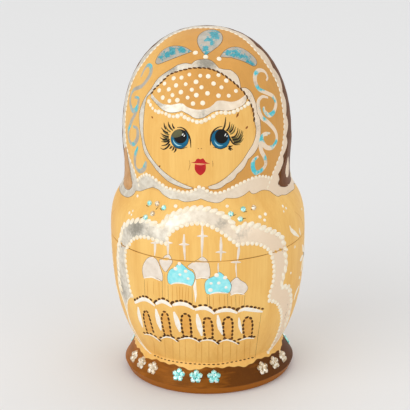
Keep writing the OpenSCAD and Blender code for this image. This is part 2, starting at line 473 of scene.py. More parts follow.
def skin_of(*pieces):
    """The painted outside of some turned pieces, for casting on."""
    points, faces = [], []
    for piece in pieces:
        first = len(points)
        points += [v.co.copy() for v in piece.data.vertices]
        faces += [[first + i for i in f.vertices] for f in piece.data.polygons if f.material_index == 0]
    return BVHTree.FromPolygons(points, faces)


skin = skin_of(lower_half, upper_half)


def seen(x, y):
    """The place on the skin under a pixel of the photograph, and the way out of the wood there."""
    ray = (ahead + right * ((x - axis_px[0]) / focal_px) - up * ((y - axis_px[1]) / focal_px)).normalized()
    place, out = skin.ray_cast(eye, ray)[:2]
    if place is None:
        place, out = skin.find_nearest(eye + ray * (Vector((0, 0, aim_height)) - eye).dot(ray))[:2]
    return place, out


def around(angle, height):
    """The place on the skin at an angle from the front, in degrees, and a height in millimetres."""
    side = Vector((math.sin(math.radians(angle)), -math.cos(math.radians(angle)), 0))
    return skin.ray_cast(side + Vector((0, 0, height * mm)), -side)[:2]


def over_head(depth, angle):
    """The place on the head at a depth behind its middle, in millimetres, and an angle from the crown."""
    side = Vector((math.sin(math.radians(angle)), 0, math.cos(math.radians(angle))))
    return skin.ray_cast(side + Vector((0, depth * mm, head_middle)), -side)[:2]


def unrolled(x, y):
    """The angle from the front and the height, in millimetres, of the place under a pixel."""
    place = seen(x, y)[0]
    return math.degrees(math.atan2(place.x, -place.y)), place.z / mm


def scalloped(arcs, step):
    """One line through a row of arcs, with a cusp where they meet."""
    return [p for arc in arcs for p in smoothed(arc, step)[:-1]] + [Vector(arcs[-1][-1])]


def cut_level(shell, height, keep_above):
    """Cuts a closed shell at a height and closes the cut."""
    whole = shell.verts[:] + shell.edges[:] + shell.faces[:]
    bmesh.ops.bisect_plane(shell, geom=whole, plane_co=(0, 0, height), plane_no=(0, 0, 1),
                           clear_inner=keep_above, clear_outer=not keep_above)
    bmesh.ops.holes_fill(shell, edges=[e for e in shell.edges if e.is_boundary])


def finish_piece(mesh, finish, body):
    """Puts a painted mesh in the scene, in its finish and on its body."""
    mesh.materials.clear()
    mesh.materials.append(finish)
    mesh.shade_smooth()
    mesh.set_sharp_from_angle(angle=paint_corner)
    piece = bpy.data.objects.new(mesh.name, mesh)
    scene.collection.objects.link(piece)
    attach(piece, body)
    painted.append((piece, body))


class Coat:
    """One coat of paint: patches and brush strokes that lie on the skin as thin closed shells."""

    def __init__(self, name, finish, thickness):
        self.name = name
        self.finish = finish
        self.thickness = thickness * mm
        self.points = []
        self.faces = []

    def patch(self, where, outline, grain, lift=0.0):
        """Fills an outline, given in the coordinates of a chart of the skin."""
        rim = [Vector((p[0], p[1])) for p in outline]
        sides = list(zip(rim, rim[1:] + rim[:1]))
        inside = []
        row = min(p.y for p in rim) + grain / 2
        while row < max(p.y for p in rim):
            met = [(a, b) for a, b in sides if (a.y > row) != (b.y > row)]
            cross = sorted(a.x + (row - a.y) * (b.x - a.x) / (b.y - a.y) for a, b in met)
            for start, end in zip(cross[::2], cross[1::2]):
                count = int((end - start) / grain)
                inside += [Vector((start + (end - start) * k / (count + 1), row))
                           for k in range(1, count + 1)]
            row += grain
        flat, _, tiles, sources, _, _ = delaunay_2d_cdt(rim + inside, [], [list(range(len(rim)))], 1, 1e-6)
        laid = [where(p.x, p.y) for p in flat]
        edge = [any(s < len(rim) for s in source) for source in sources]
        first = len(self.points)
        low = first + len(flat)
        self.points += [place + out * (self.thickness * (paint_edge if rimmed else 1) + lift * mm)
                        for (place, out), rimmed in zip(laid, edge)]
        self.points += [place - out * paint_sunk for place, out in laid]
        a, b, c = (laid[i][0] for i in tiles[0])
        turn = 1 if (b - a).cross(c - a).dot(laid[tiles[0][0]][1]) > 0 else -1
        tiles = [tile[::turn] for tile in tiles]
        border = {(tile[k - 1], tile[k]) for tile in tiles for k in range(3)}
        self.faces += [[first + i for i in tile] for tile in tiles]
        self.faces += [[low + i for i in tile[::-1]] for tile in tiles]
        self.faces += [[first + b, first + a, low + a, low + b] for a, b in border if (b, a) not in border]

    def stroke(self, where, run, widths, lift=0.0, step=1.0, closed=False):
        """Draws a line through some points of a chart, with widths in millimetres spread along it."""
        line = [where(*p[:2]) for p in smoothed(run, step, closed)]
        last = len(line) - 1
        rows = []
        for i, (place, out) in enumerate(line):
            before = line[i - 1 if i or closed else 0][0]
            after = line[(i + 1) % len(line) if closed else min(i + 1, last)][0]
            side = (after - before).cross(out).normalized()
            spot = i / max(last, 1) * (len(widths) - 1)
            low = min(int(spot), len(widths) - 2) if len(widths) > 1 else 0
            width = widths[low] + (widths[min(low + 1, len(widths) - 1)] - widths[low]) * (spot - low)
            rows.append(len(self.points))
            for share, rise in stroke_section:
                spread = skin.find_nearest(place + side * (share * width * mm / 2))[0]
                height = self.thickness * rise + lift * mm if rise > 0 else -paint_sunk
                self.points.append(spread + out * height)
        pairs = list(zip(rows, rows[1:])) + ([(rows[-1], rows[0])] if closed else [])
        for near, far in pairs:
            self.faces += [[near + k, near + (k + 1) % 5, far + (k + 1) % 5, far + k] for k in range(5)]
        if not closed:
            self.faces += [[rows[0] + k for k in range(4, -1, -1)], [rows[-1] + k for k in range(5)]]

    def dry(self):
        """Makes the coat's pieces, one on each half of the doll, cut at the seam."""
        for half, body in halves:
            mesh = bpy.data.meshes.new(f"{self.name}_on_{half}_half")
            mesh.from_pydata(self.points, [], self.faces)
            shell = bmesh.new()
            shell.from_mesh(mesh)
            above = half == "upper"
            cut_level(shell, seam_height + (seam_half if above else -seam_half), above)
            bmesh.ops.recalc_face_normals(shell, faces=shell.faces[:])
            shell.to_mesh(mesh)
            shell.free()
            if mesh.polygons:
                finish_piece(mesh, self.finish, body)


def paint_finish(name, pale, dull, roughness, metallic=0.0, blotch=300, bump=0.3, gloss=0.3, shine=0.3):
    """Brushed paint that runs unevenly between two tones, under the doll's varnish."""
    finish, tree, shader = new_finish(name, Metallic=metallic, Coat_Weight=gloss, Coat_Roughness=0.2,
                                      Specular_IOR_Level=shine)
    place = on_piece(tree)
    cloud = noise(tree, place, blotch, 3, 0.55)
    plugged(tree, shader, Base_Color=mixed(tree, ramp(tree, cloud, 0.35, 0.7), pale, dull),
            Roughness=scaled(tree, cloud, 0.2, roughness - 0.1),
            Normal=relief(tree, noise(tree, place, brush_scale, 2), bump, brush_depth))
    return finish


def new_tree(name, **inputs):
    """An empty tree of geometry nodes that works on places of the skin, and what it is given."""
    tree = bpy.data.node_groups.new(name, "GeometryNodeTree")
    for label, kind in {"Places": "Geometry", **inputs}.items():
        tree.interface.new_socket(label, in_out="INPUT", socket_type="NodeSocket" + kind)
    tree.interface.new_socket("Made", in_out="OUTPUT", socket_type="NodeSocketGeometry")
    return tree, tree.nodes.new("NodeGroupInput").outputs


def vector_at(tree, name):
    """The vector that the places hold under a name."""
    return wire(tree, "GeometryNodeInputNamedAttribute", {"Name": name}, data_type="FLOAT_VECTOR").outputs[0]


def set_on(tree, places, thing, **how):
    """Sets a thing on each place, each as real faces of its own."""
    inputs = {"Points": places, "Instance": thing, **how}
    things = wire(tree, "GeometryNodeInstanceOnPoints", inputs).outputs[0]
    return wire(tree, "GeometryNodeRealizeInstances", {0: things}).outputs[0]


def leaning(tree, along):
    """The turn of a thing that stands on the skin and points along it."""
    axes = {0: vector_at(tree, "out"), 1: along}
    return wire(tree, "FunctionNodeAxesToRotation", axes, primary_axis="Z", secondary_axis="X").outputs[0]


def coated(tree, solid, paint):
    """Gives a tree's result its finish and hands it out."""
    ready = wire(tree, "GeometryNodeSetMaterial", {"Geometry": solid, "Material": paint}).outputs[0]
    wire(tree, "NodeGroupOutput", {"Made": ready})


def bead_tree(name, along_path):
    """Geometry nodes that set dabs of paint along paths, or one on each point of a mesh."""
    tree, given = new_tree(name, Pitch="Float", Length="Float", Width="Float", Rise="Float", Slant="Float",
                           Unevenness="Float", Paint="Material")
    if along_path:
        curve = wire(tree, "GeometryNodeMeshToCurve", {"Mesh": given["Places"]}).outputs["Curve"]
        spacing = {"Curve": curve, "Length": given["Pitch"]}
        places = wire(tree, "GeometryNodeResampleCurve", spacing, mode="LENGTH").outputs[0]
        along = wire(tree, "GeometryNodeInputTangent").outputs[0]
    else:
        places = wire(tree, "GeometryNodeMeshToPoints", {"Mesh": given["Places"]}).outputs[0]
        along = vector_at(tree, "along")
    turn = wire(tree, "ShaderNodeCombineXYZ", {"Z": given["Slant"]}).outputs[0]
    turn = wire(tree, "FunctionNodeEulerToRotation", {0: turn}).outputs[0]
    turns = {0: leaning(tree, along), 1: turn}
    lean = wire(tree, "FunctionNodeRotateRotation", turns, rotation_space="LOCAL").outputs[0]
    ends = {0: 1.0, 1: given["Unevenness"]}
    less = wire(tree, "ShaderNodeMath", ends, operation="SUBTRACT").outputs[0]
    more = wire(tree, "ShaderNodeMath", ends, operation="ADD").outputs[0]
    chances = {2: less, 3: more, 8: dab_seed}
    luck = wire(tree, "FunctionNodeRandomValue", chances, data_type="FLOAT").outputs[1]
    sides = {"X": given["Length"], "Y": given["Width"], "Z": given["Rise"]}
    box = wire(tree, "ShaderNodeCombineXYZ", sides).outputs[0]
    size = wire(tree, "ShaderNodeVectorMath", {0: box, 3: luck}, operation="SCALE").outputs[0]
    dab = wire(tree, "GeometryNodeMeshUVSphere", {"Segments": 10, "Rings": 6, "Radius": 0.5}).outputs[0]
    coated(tree, set_on(tree, places, dab, Rotation=lean, Scale=size), given["Paint"])
    return tree


dabs_along_lines = bead_tree("dabs_along_lines", True)
dabs_on_points = bead_tree("dabs_on_points", False)


def grown(name, tree, places, outs, alongs, links, wanted):
    """What a tree of geometry nodes makes on some places of the skin, as a mesh of its own."""
    mesh = bpy.data.meshes.new(name)
    mesh.from_pydata(places, links, [])
    store(mesh, "out", outs, "FLOAT_VECTOR")
    store(mesh, "along", alongs, "FLOAT_VECTOR")
    holder = bpy.data.objects.new(name + "_places", mesh)
    scene.collection.objects.link(holder)
    maker = holder.modifiers.new("maker", "NODES")
    maker.node_group = tree
    for socket in tree.interface.items_tree:
        if socket.in_out == "INPUT" and socket.name in wanted:
            maker[socket.identifier] = wanted[socket.name]
    made = bpy.data.meshes.new_from_object(holder.evaluated_get(bpy.context.evaluated_depsgraph_get()))
    holder.modifiers.remove(maker)
    bpy.data.objects.remove(holder)
    bpy.data.meshes.remove(mesh)
    made.name = name
    return made


def dabbed(name, finish, where, runs, size, pitch=0.0, slant=0.0, uneven=0.1):
    """Raised dabs of paint, in rows along runs of points or, without a pitch, one on each point."""
    tree = dabs_along_lines if pitch else dabs_on_points
    wanted = {"Pitch": pitch, "Length": size[0], "Width": size[1], "Rise": size[2], "Slant": slant,
              "Unevenness": uneven, "Paint": finish}
    for half, body in halves:
        places, outs, links = [], [], []
        for run in runs:
            joined = False
            for p in smoothed(run, 1.0) if pitch else run:
                place, out = where(*p[:2])
                here = (place.z > seam_height) == (half == "upper")
                if here and joined and pitch:
                    links.append((len(places) - 1, len(places)))
                if here:
                    places.append(place)
                    outs.append(out)
                joined = here
        if places:
            alongs = [out.cross(dab_lean).normalized() for out in outs]
            made = grown(f"{name}_on_{half}_half", tree, places, outs, alongs, links, wanted)
            finish_piece(made, finish, body)


def shader_of(finish):
    """A finish's node tree, its shader and the colour that it has so far."""
    shader = finish.node_tree.nodes["Principled BSDF"]
    return finish.node_tree, shader, shader.inputs["Base Color"].links[0].from_socket


def warmed(finish):
    """Darkens silver paint in broad uneven patches and round listed places, and turns it from grey to
    champagne across the doll as a painted reflection of the amber wood.
    """
    tree, shader, ground = shader_of(finish)
    place = on_piece(tree)
    shifted = wire(tree, "ShaderNodeMapping", {"Vector": place, "Location": patch_shift}).outputs["Vector"]
    across = wire(tree, "ShaderNodeSeparateXYZ", {0: place}).outputs["X"]
    amber_reflection = ramp(tree, across, amber_reflection_from, amber_reflection_to)
    uneven = scaled(tree, noise(tree, place, speckle_scale, 3), speckle_share,
                    noise(tree, shifted, patch_scale, 2))
    rubbed = ramp(tree, scaled(tree, held(tree, "rubbed"), darkening_share, uneven), *rub_spread)
    toned = mixed(tree, rubbed, mixed(tree, amber_reflection, ground, silver_amber_reflection), silver_darkened)
    plugged(tree, shader, Base_Color=toned)


silver_paint = paint_finish("silver_paint", silver_pale, silver_dull, 0.5, metallic=0.65, gloss=0.12)
warmed(silver_paint)
cream_paint = paint_finish("cream_paint", cream_pale, cream_dull, 0.42, blotch=500)
burnt_line = paint_finish("burnt_line", burnt_dark, burnt_brown, 0.65, gloss=0.0, shine=0.1)
silver = Coat("silver_paint", silver_paint, 0.10)
burnt = Coat("burnt_lines", burnt_line, 0.05)
border_angles = range(-border_end_angle, border_end_angle + 1)
border_front = [(border_depth(math.radians(a)) / mm, a) for a in border_angles]
border_back = []
for depth, angle in border_front:
    scallop = border_scallop * abs(math.sin(math.pi * angle / border_scallop_angle))
    turn = math.radians(border_thin_turn * max(0, angle - border_thin_from))
    border_back.append((depth + border_width + scallop - border_thinner * max(0.0, math.sin(turn)), angle))
silver.patch(over_head, border_front + border_back[::-1], silver_grain)
burnt.stroke(over_head, border_back, outline_burn, lift=0.03)
dabbed("scarf_border_dabs", cream_paint, over_head, [border_front], dab_size, pitch=dab_pitch)

# The cap and the ring round the face: silver paint between burnt stitches and a scalloped edge, with a
# cream-dotted cap above the brow and a silver fringe under it, which carries a row of cream pearls.
ring_left_px = [(193.6, 188.2), (187.6, 189), (177.9, 186), (168.2, 181.2), (157.9, 171.5),
                (152.4, 164.2), (145, 153.3), (142, 141), (140, 129), (139.3, 115), (141.7, 104.8),
                (146, 96), (151.8, 87.9), (157.3, 79.4), (164.5, 73.3), (177.9, 64.8)]
ring_scallops_px = [
    [(177.9, 64.8), (185, 63.2), (191.5, 64)],
    [(191.5, 64), (195, 61), (199.7, 59.6), (207, 59.2), (213, 61.8), (219, 68.2)],
    [(219, 68.2), (223.9, 69.3), (231, 70.3), (237.2, 75.5), (239.7, 81.6), (240.6, 87.9)],
    [(240.6, 87.9), (246, 88), (251, 92), (254.4, 99), (256.4, 106), (257.2, 113.3)],
    [(257.2, 113.3), (259.6, 118), (260.6, 126), (260.6, 134), (259.6, 142.4)],
    [(259.6, 142.4), (256.8, 149.5), (252.8, 155), (248.1, 159.3)],
    [(248.1, 159.3), (245, 166), (241.5, 170.5), (237.2, 173.9)],
    [(237.2, 173.9), (234.5, 178.5), (230.6, 181.6), (226.3, 183.6)],
    [(226.3, 183.6), (221.5, 187.5), (215.5, 189.3), (209.4, 189)],
]
ring_inner_right_px = [(208.1, 186.6), (219, 182.4), (228.8, 175.1), (238.4, 165.4), (243.3, 159.3),
                       (249.3, 149.7), (253, 143.6), (255.4, 136.3), (256, 129), (254.2, 119.4)]
stitches_px = [(151.8, 92.7), (155.4, 87.9), (162.3, 81.4), (168.2, 75.5), (175.4, 72.1), (185.1, 69.4),
               (193.6, 67.9), (204.5, 67.9), (213, 69.7), (222.7, 74.2), (230, 79.4), (237.2, 85.4),
               (243.3, 91.5), (247.5, 97.6), (250.6, 103.6), (253, 109.7), (254.2, 119.4)]
ring_inner_left_px = [(151.8, 92.7), (146.4, 99), (143.8, 117), (143.6, 135), (146.6, 148.4),
                      (152.6, 159.3), (161.1, 169), (170.8, 177), (181.5, 183.2), (193.6, 188.2)]
fringe_top_px = [(151.8, 93.5), (156, 98.8), (162.1, 103.6), (170.6, 104.8), (177.9, 103.6),
                 (182.7, 103.6), (187.6, 107.2), (197.2, 109.7), (206.9, 108.5), (213, 104.8),
                 (216.6, 101.2), (222.7, 100.6), (231.2, 101.8), (238.4, 100), (245.2, 95.1)]
fringe_scallops_px = [
    [(150.6, 97.6), (157.3, 104.8), (163.3, 110.3), (170.6, 112.7), (177.9, 112), (181.5, 110.9)],
    [(181.5, 110.9), (187.6, 113.9), (194.8, 118.1), (202, 118.1), (206.9, 115.7), (213, 112),
     (219, 110.3)],
    [(219, 110.3), (226.3, 110.9), (233.6, 109.7), (240.9, 106.6), (245.7, 102.4), (247, 97)],
]
fringe_pearls_px = [(148.8, 101.4), (151.6, 106.8), (155.4, 110.8), (164.5, 113.3), (170.6, 116.3),
                    (176.6, 116.3), (181.5, 114.5), (185.1, 117.5), (192.4, 120.6), (199.7, 122.2),
                    (206.9, 119.4), (213, 116.3), (217.8, 112.9), (223.9, 112.7), (231.2, 112.7),
                    (237.2, 110.3), (243.3, 107.2), (248.1, 103.6)]
cap_dots_px = [(173.6, 78.2), (181.5, 77.6), (189.4, 74.5), (200.3, 75.7), (208.2, 76.3), (218.5, 75.1),
               (164.5, 83.6), (176, 85.4), (185.7, 84.2), (196, 81.8), (201.5, 87.3), (213.6, 83.6),
               (226.3, 80.6), (221.5, 87.3), (159.1, 90.3), (168.8, 89.3), (180.9, 92.1), (191.8, 89.7),
               (207.5, 93.3), (236, 90.9), (172.4, 95.1), (162.7, 97.6), (187.6, 97.6), (196.3, 95.1),
               (218.5, 95.7), (228.8, 95.7), (169.4, 100.9), (177.3, 100.2), (193, 103.6), (202.7, 103)]
cap_dot_size = (2.2 * mm, 2.2 * mm, 0.5 * mm)
pearl_size = (2.15 * mm, 2.0 * mm, 0.9 * mm)
pearl_pitch = 2.12 * mm
stitch_size = (2.4 * mm, 1.05 * mm, 0.22 * mm)
stitch_pitch = 2.35 * mm
stitch_slant = math.radians(-14)
px_step = 1.2
scarf_low = 106.5 * mm
# Painted sheen: the scarf's amber is made paler towards the doll's left side.
scarf_left_sheen = 0.8
scarf_sheen_from = 6 * mm
scarf_sheen_over = 24 * mm
cap_grain = 2.2
ring_burn = (0.18, 0.18)
scallop_burn = (0.2, 0.2)


def pixel_of(place):
    """The pixel of the photograph that shows a place on the doll."""
    sight = place - eye
    reach = sight.dot(ahead)
    return axis_px[0] + focal_px * sight.dot(right) / reach, axis_px[1] - focal_px * sight.dot(up) / reach


def within(x, y, outline):
    """Whether an outline goes round a pixel."""
    crossings = 0
    for i, (bx, by) in enumerate(outline):
        ax, ay = outline[i - 1]
        if (ay > y) != (by > y) and x < ax + (y - ay) * (bx - ax) / (by - ay):
            crossings += 1
    return crossings % 2 == 1


ring_edge = smoothed(ring_left_px, px_step)[:-1] + scalloped(ring_scallops_px, px_step)
ring_inside = smoothed(ring_inner_right_px, px_step)[:-1] + smoothed(stitches_px[::-1], px_step)[:-1]
ring_inside += smoothed(ring_inner_left_px, px_step)[:-1]
silver.patch(seen, ring_edge + ring_inside, cap_grain)
burnt.stroke(seen, ring_edge, outline_burn, lift=0.04)
for line in (ring_inner_right_px, ring_inner_left_px):
    burnt.stroke(seen, line, ring_burn, lift=0.04)
dabbed("cap_stitches", burnt_line, seen, [stitches_px], stitch_size, pitch=stitch_pitch, slant=stitch_slant)
fringe_edge = scalloped(fringe_scallops_px, px_step)
silver.patch(seen, smoothed(fringe_top_px, px_step) + fringe_edge[::-1], cap_grain)
burnt.stroke(seen, fringe_edge, scallop_burn, lift=0.04)
face_edge = sum(fringe_scallops_px, [])
face_edge += ring_inner_right_px[::-1] + ring_inner_left_px[::-1]


def scarf_tint(point):
    """The wood of the scarf is a deeper amber than the face, as far back as its border, and is painted paler
    on its left side as a sheen.
    """
    front = point.y < border_depth(math.atan2(point.x, point.z - head_middle)) + border_lap
    if not front or point.z < scarf_low or within(*pixel_of(point), face_edge):
        return 0.0
    return 1.0 - scarf_left_sheen * min(1.0, max(0.0, (-point.x - scarf_sheen_from) / scarf_sheen_over))


store(upper_half.data, "tint", [scarf_tint(v.co) for v in upper_half.data.vertices])
dabbed("fringe_pearls", cream_paint, seen, [fringe_pearls_px], pearl_size, pitch=pearl_pitch, uneven=0.2)
dabbed("cap_dots", cream_paint, seen, [cap_dots_px], cap_dot_size, uneven=0.12)

# Three leaves over the cap and three scrolls down each side of the face, brushed on in silver and dabbed
# with teal while it was wet, inside thin burnt outlines. A large cream pearl sits at the tip of each
# leaf.
leaves_px = [
    [(192.4, 51.5), (183.9, 46.9), (173, 46), (164.5, 49.1), (158.5, 55.1), (155.6, 61.8), (157.9, 64.2),
     (164.5, 62), (174.2, 58.2), (183.9, 54.5)],
    [(205.7, 55.7), (200.3, 49.1), (197.3, 41.8), (199, 35.1), (205.7, 30.7), (214.2, 29.7),
     (220.9, 33.3), (222.6, 39.4), (219.1, 45.4), (213, 50.3)],
    [(219.7, 57), (225.1, 50.3), (232.4, 47.1), (240.9, 47.9), (249.3, 52.7), (256, 59.6), (256.4, 64.6),
     (253, 66), (243.3, 61.4), (231.2, 57.6)],
]
leaf_pearls_px = [(195.4, 52.7), (205.7, 56.9), (219.1, 58.8)]
leaf_pearl_size = (2.6 * mm, 2.6 * mm, 1.0 * mm)
scrolls_px = [
    [(266.3, 80.6), (267.5, 77), (264.5, 71.5), (259, 70.3), (255.4, 74.5), (255.4, 81.8), (259, 89),
     (266.3, 92.7), (273, 96.3), (276, 103.6), (273.6, 112.1), (268.7, 115.1), (264.5, 110.9),
     (263.9, 106.6)],
    [(268, 97.6), (262.5, 96.6), (258.6, 100.8), (258.4, 108.2), (261.5, 117), (268.7, 123),
     (275.4, 131.5), (276.6, 140), (272.4, 147.2), (266.3, 147.2), (262, 141.2), (263.3, 135.1),
     (267.5, 134.5)],
    [(270, 133.2), (264, 134), (260.3, 141.2), (261.5, 150.9), (264.5, 156.9), (265.7, 164.2),
     (261.5, 170.3), (256, 172.7), (253, 167.8), (253.6, 160.6), (258.4, 156.3)],
    [(140.9, 77), (144.5, 69.2), (148.4, 64.9), (151, 67.4), (150.6, 73.2), (147, 79.8), (141.5, 86.2),
     (134.4, 89.4), (131, 95), (130.2, 103.6), (133, 110.9), (137.3, 106.6), (138.5, 98.8),
     (134.8, 97.2)],
    [(138.7, 106.5), (135.4, 113.5), (131.4, 121.5), (128.4, 131.3), (129.6, 141), (133.4, 144.2),
     (137.4, 138), (137.4, 129.4), (133.4, 126.2)],
    [(137.9, 146.4), (135, 156.3), (135.4, 166), (139.5, 171.2), (144, 168.6), (146.2, 161.5)],
]
leaf_teal_px = [(205.6, 50, 5, 1.0), (213, 44, 4, 0.8), (207, 39.5, 4, 0.7), (214.5, 34.5, 6, 0.9),
                (216, 40, 4, 0.6), (166, 55, 6, 0.9), (172, 51.5, 5, 0.9), (181, 50, 5, 0.8),
                (161, 58, 4, 0.6), (235.5, 53, 6, 1.0), (240, 56, 4, 0.7), (246, 58.5, 5, 0.8),
                (229.5, 53, 4, 0.7), (252.5, 63.5, 4, 0.6)]
scroll_teal_px = [(255, 167, 10, 1.3), (260, 88, 6, 0.9), (273.5, 99, 5, 0.6), (272.5, 112.5, 5, 0.8),
                  (264.3, 108.5, 5, 0.8), (264.8, 118, 4, 0.5), (262, 139, 6, 0.9),
                  (274.5, 142.5, 5, 0.8), (264, 157, 5, 0.7), (256.5, 74, 4, 0.4), (149.8, 67, 5, 0.6),
                  (133.5, 90.5, 4, 0.5), (138, 95.5, 4, 0.5), (133, 108, 6, 0.8), (132.5, 128.5, 5, 0.6),
                  (132, 143, 5, 0.5), (136.5, 150, 6, 0.6), (138.5, 167, 5, 0.5), (145, 163, 5, 0.6)]
scroll_widths = (1.1, 2.2, 2.6, 2.3, 2.2, 2.5, 2.7, 1.4)
scroll_burn = 0.3
scroll_step = 0.8
leaf_grain = 1.6
leaf_dabs = (400, 0.60, 0.68)
scroll_dabs = (320, 0.60, 0.74)
dab_roughness = 0.62
dip_share = 0.3
teal_finer = 2.3
leaf_silver = (0.53, 0.48, 0.40, 1)
leaf_grey = (0.41, 0.37, 0.30, 1)
teal_deep = (0.006, 0.17, 0.22, 1)
teal_bright = (0.09, 0.52, 0.60, 1)
teal_scroll = (0.10, 0.68, 0.76, 1)
teal_scroll_deep = (0.05, 0.46, 0.52, 1)


def dipped(finish, deep, bright, blotch, start, end):
    """Works dabs of teal into a paint, round the places that the mesh holds as dipped."""
    tree, shader, ground = shader_of(finish)
    place = on_piece(tree)
    dabs = noise(tree, place, blotch, 4, dab_roughness)
    teal = mixed(tree, noise(tree, place, blotch * teal_finer, 1), deep, bright)
    share = ramp(tree, scaled(tree, held(tree, "dipped"), dip_share, dabs), start, end)
    plugged(tree, shader, Base_Color=mixed(tree, share, ground, teal))


leaf_paint = paint_finish("silver_dabbed_with_teal", leaf_silver, leaf_grey, 0.45, metallic=0.2)
dipped(leaf_paint, teal_deep, teal_bright, *leaf_dabs)
scroll_paint = paint_finish("silver_streaked_with_teal", leaf_silver, leaf_grey, 0.45, metallic=0.2)
warmed(scroll_paint)
dipped(scroll_paint, teal_scroll_deep, teal_scroll, *scroll_dabs)
leaf_coat = Coat("leaves", leaf_paint, 0.12)
scroll_coat = Coat("scrolls", scroll_paint, 0.12)
for leaf in leaves_px:
    edge = smoothed(leaf, px_step) + [Vector(leaf[0])]
    leaf_coat.patch(seen, edge[:-1], leaf_grain)
    burnt.stroke(seen, edge, outline_burn, lift=0.04)
for scroll in scrolls_px:
    scroll_coat.stroke(seen, scroll, scroll_widths, step=scroll_step)
    burnt.stroke(seen, scroll, [w + scroll_burn for w in scroll_widths], lift=-0.03, step=scroll_step)
dabbed("leaf_pearls", cream_paint, seen, [leaf_pearls_px], leaf_pearl_size, uneven=0.05)

# The face: fine brushwork on the bare varnish. Each eye is a blue iris with a pale arc and a black pupil
# under two white glints, drawn round with dark lids and lashes. The nose is two ticks, and the lips are
# red round a pink line.
eyes = [
    {"iris": ((179.8, 138.9), 8.7, 9.3), "pupil": ((180.4, 136.5), 6.6, 6.9),
     "arc": [(172.9, 139.4), (174.4, 142.6), (177.6, 145.2), (181.6, 145.6)],
     "glints": [((182.1, 135.3), (183.4, 133.5)), ((183.9, 136.5), (184.8, 134.9))],
     "lid": [(177.2, 127.4), (181, 127.5), (184.6, 129.3), (187.9, 133.6), (190.2, 139.6), (190.9, 147.6)],
     "under": [(170.2, 145.6), (174.5, 147.2), (180.8, 148.7), (187.4, 147)]},
    {"iris": ((220.4, 139), 9.1, 9.5), "pupil": ((221.6, 136.4), 6.6, 7.2),
     "arc": [(214.4, 140.6), (215.9, 143.3), (218.6, 145.4), (222.6, 145.7)],
     "glints": [((224.7, 136.0), (225.8, 133.6)), ((226.7, 136.8), (227.3, 135.6))],
     "lid": [(222.4, 126.5), (218.5, 127.2), (214.6, 129.8), (211.9, 133.8), (210.6, 139), (210.3, 145.4)],
     "under": [(213, 147.3), (216.6, 147.9), (221, 148.8), (227.6, 146.4)]},
]
dull_patch_px = [(172.4, 137), (172.7, 133.2), (174.6, 130.8), (177.6, 129.7), (181.2, 130.4),
                 (182.4, 133.2), (180.8, 136), (176.6, 137.4)]
lashes_px = [
    [(174.4, 128.6), (172.9, 126.3), (172.3, 123.4)], [(171.5, 129.4), (169.1, 126), (168.2, 121.6)],
    [(165.9, 129.2), (164.6, 126.6), (164, 122.6)], [(168, 133), (164.6, 131.3), (161.2, 127.6)],
    [(168.8, 136.8), (164.4, 135.6), (160.6, 133.2)], [(167.6, 139), (163.6, 139.4), (160, 137.6)],
    [(169.6, 139.2), (166, 141.8), (161.4, 141.6)], [(169.6, 141), (166.4, 144.6), (161.4, 145.8)],
    [(169.8, 143.8), (167.4, 147.2), (163.6, 149.3), (160.4, 148)],
    [(171.6, 146.6), (170.6, 147.9), (169.2, 148.7)], [(173.8, 147.5), (173.2, 149.2), (171.8, 150.6)],
    [(175.9, 148.4), (175.5, 150.4), (173.9, 152.6)], [(222.9, 130), (224.8, 125.2), (225.8, 117)],
    [(226.6, 131), (229.1, 127.2), (229.8, 121.8)], [(229.4, 132.8), (232.4, 129.6), (234, 124.4)],
    [(231.2, 137.6), (235.2, 136.2), (237.6, 131.6), (237.9, 127.8)],
    [(232.4, 140), (237.8, 138.8), (240.5, 134.8), (241.8, 130.4)],
    [(233.8, 142.8), (239.8, 140.8), (243.2, 135)],
    [(229, 136.6), (231.2, 140.8), (234.6, 144.4), (240.2, 144.6)],
    [(228.4, 146.5), (230.6, 146.4), (232.8, 145.6)], [(229, 147.3), (230.9, 148.6), (232.9, 149.4)],
    [(228.6, 148), (229.8, 149.4), (231.2, 150.6)],
]
soft_lashes_px = [
    [(173, 130.6), (170.6, 128), (169.6, 124.4)], [(170.6, 132), (167.4, 129.6), (165.6, 125.6)],
    [(169.4, 134.8), (165.6, 133.4), (162.6, 130.6)], [(168.8, 138), (164.8, 137.6), (161.6, 135.6)],
    [(168.8, 140.2), (165.4, 141), (162, 140)], [(228.2, 131.6), (231, 128.6), (232.2, 123.6)],
    [(230.4, 134.4), (233.8, 131.8), (235.8, 126.6)],
    [(232, 138.8), (236.6, 137.4), (239.2, 133), (240, 129)],
    [(233.4, 141.4), (238.8, 139.6), (242, 134.6), (243, 131)],
    [(234.4, 143.6), (240, 142.4), (243.6, 138.4)],
]
nose_px = [[(197.9, 148.2), (198.9, 148.9)], [(201, 148.9), (202, 148.2)]]
upper_lip_px = [
    [(190.8, 162.3), (194.7, 161.8), (196.4, 159.4), (198, 158.4)],
    [(198, 158.4), (199.3, 158.9), (200.5, 159.3)], [(200.5, 159.3), (201.9, 158.7), (203.2, 158.3)],
    [(203.2, 158.3), (204.9, 160.4), (206, 162), (210.2, 163.7)],
    [(210.2, 163.7), (205.6, 163.8), (200.2, 163.4), (195, 163.2), (190.8, 162.3)],
]
lower_lip_px = [
    [(194.9, 164.2), (194.7, 168.4), (196.2, 172.2), (200.4, 175.3), (204.6, 172.2), (205.9, 168.4),
     (205.8, 164.2)],
    [(205.8, 164.2), (200.4, 165.2), (194.9, 164.2)],
]
lip_line_px = [(195.2, 163.9), (200.3, 164.5), (205.5, 164)]
cheek_lines_px = [
    [(189.3, 160), (190, 165.2), (188.3, 170.4)], [(212.2, 160.4), (212.9, 163.6), (212.7, 167)],
]
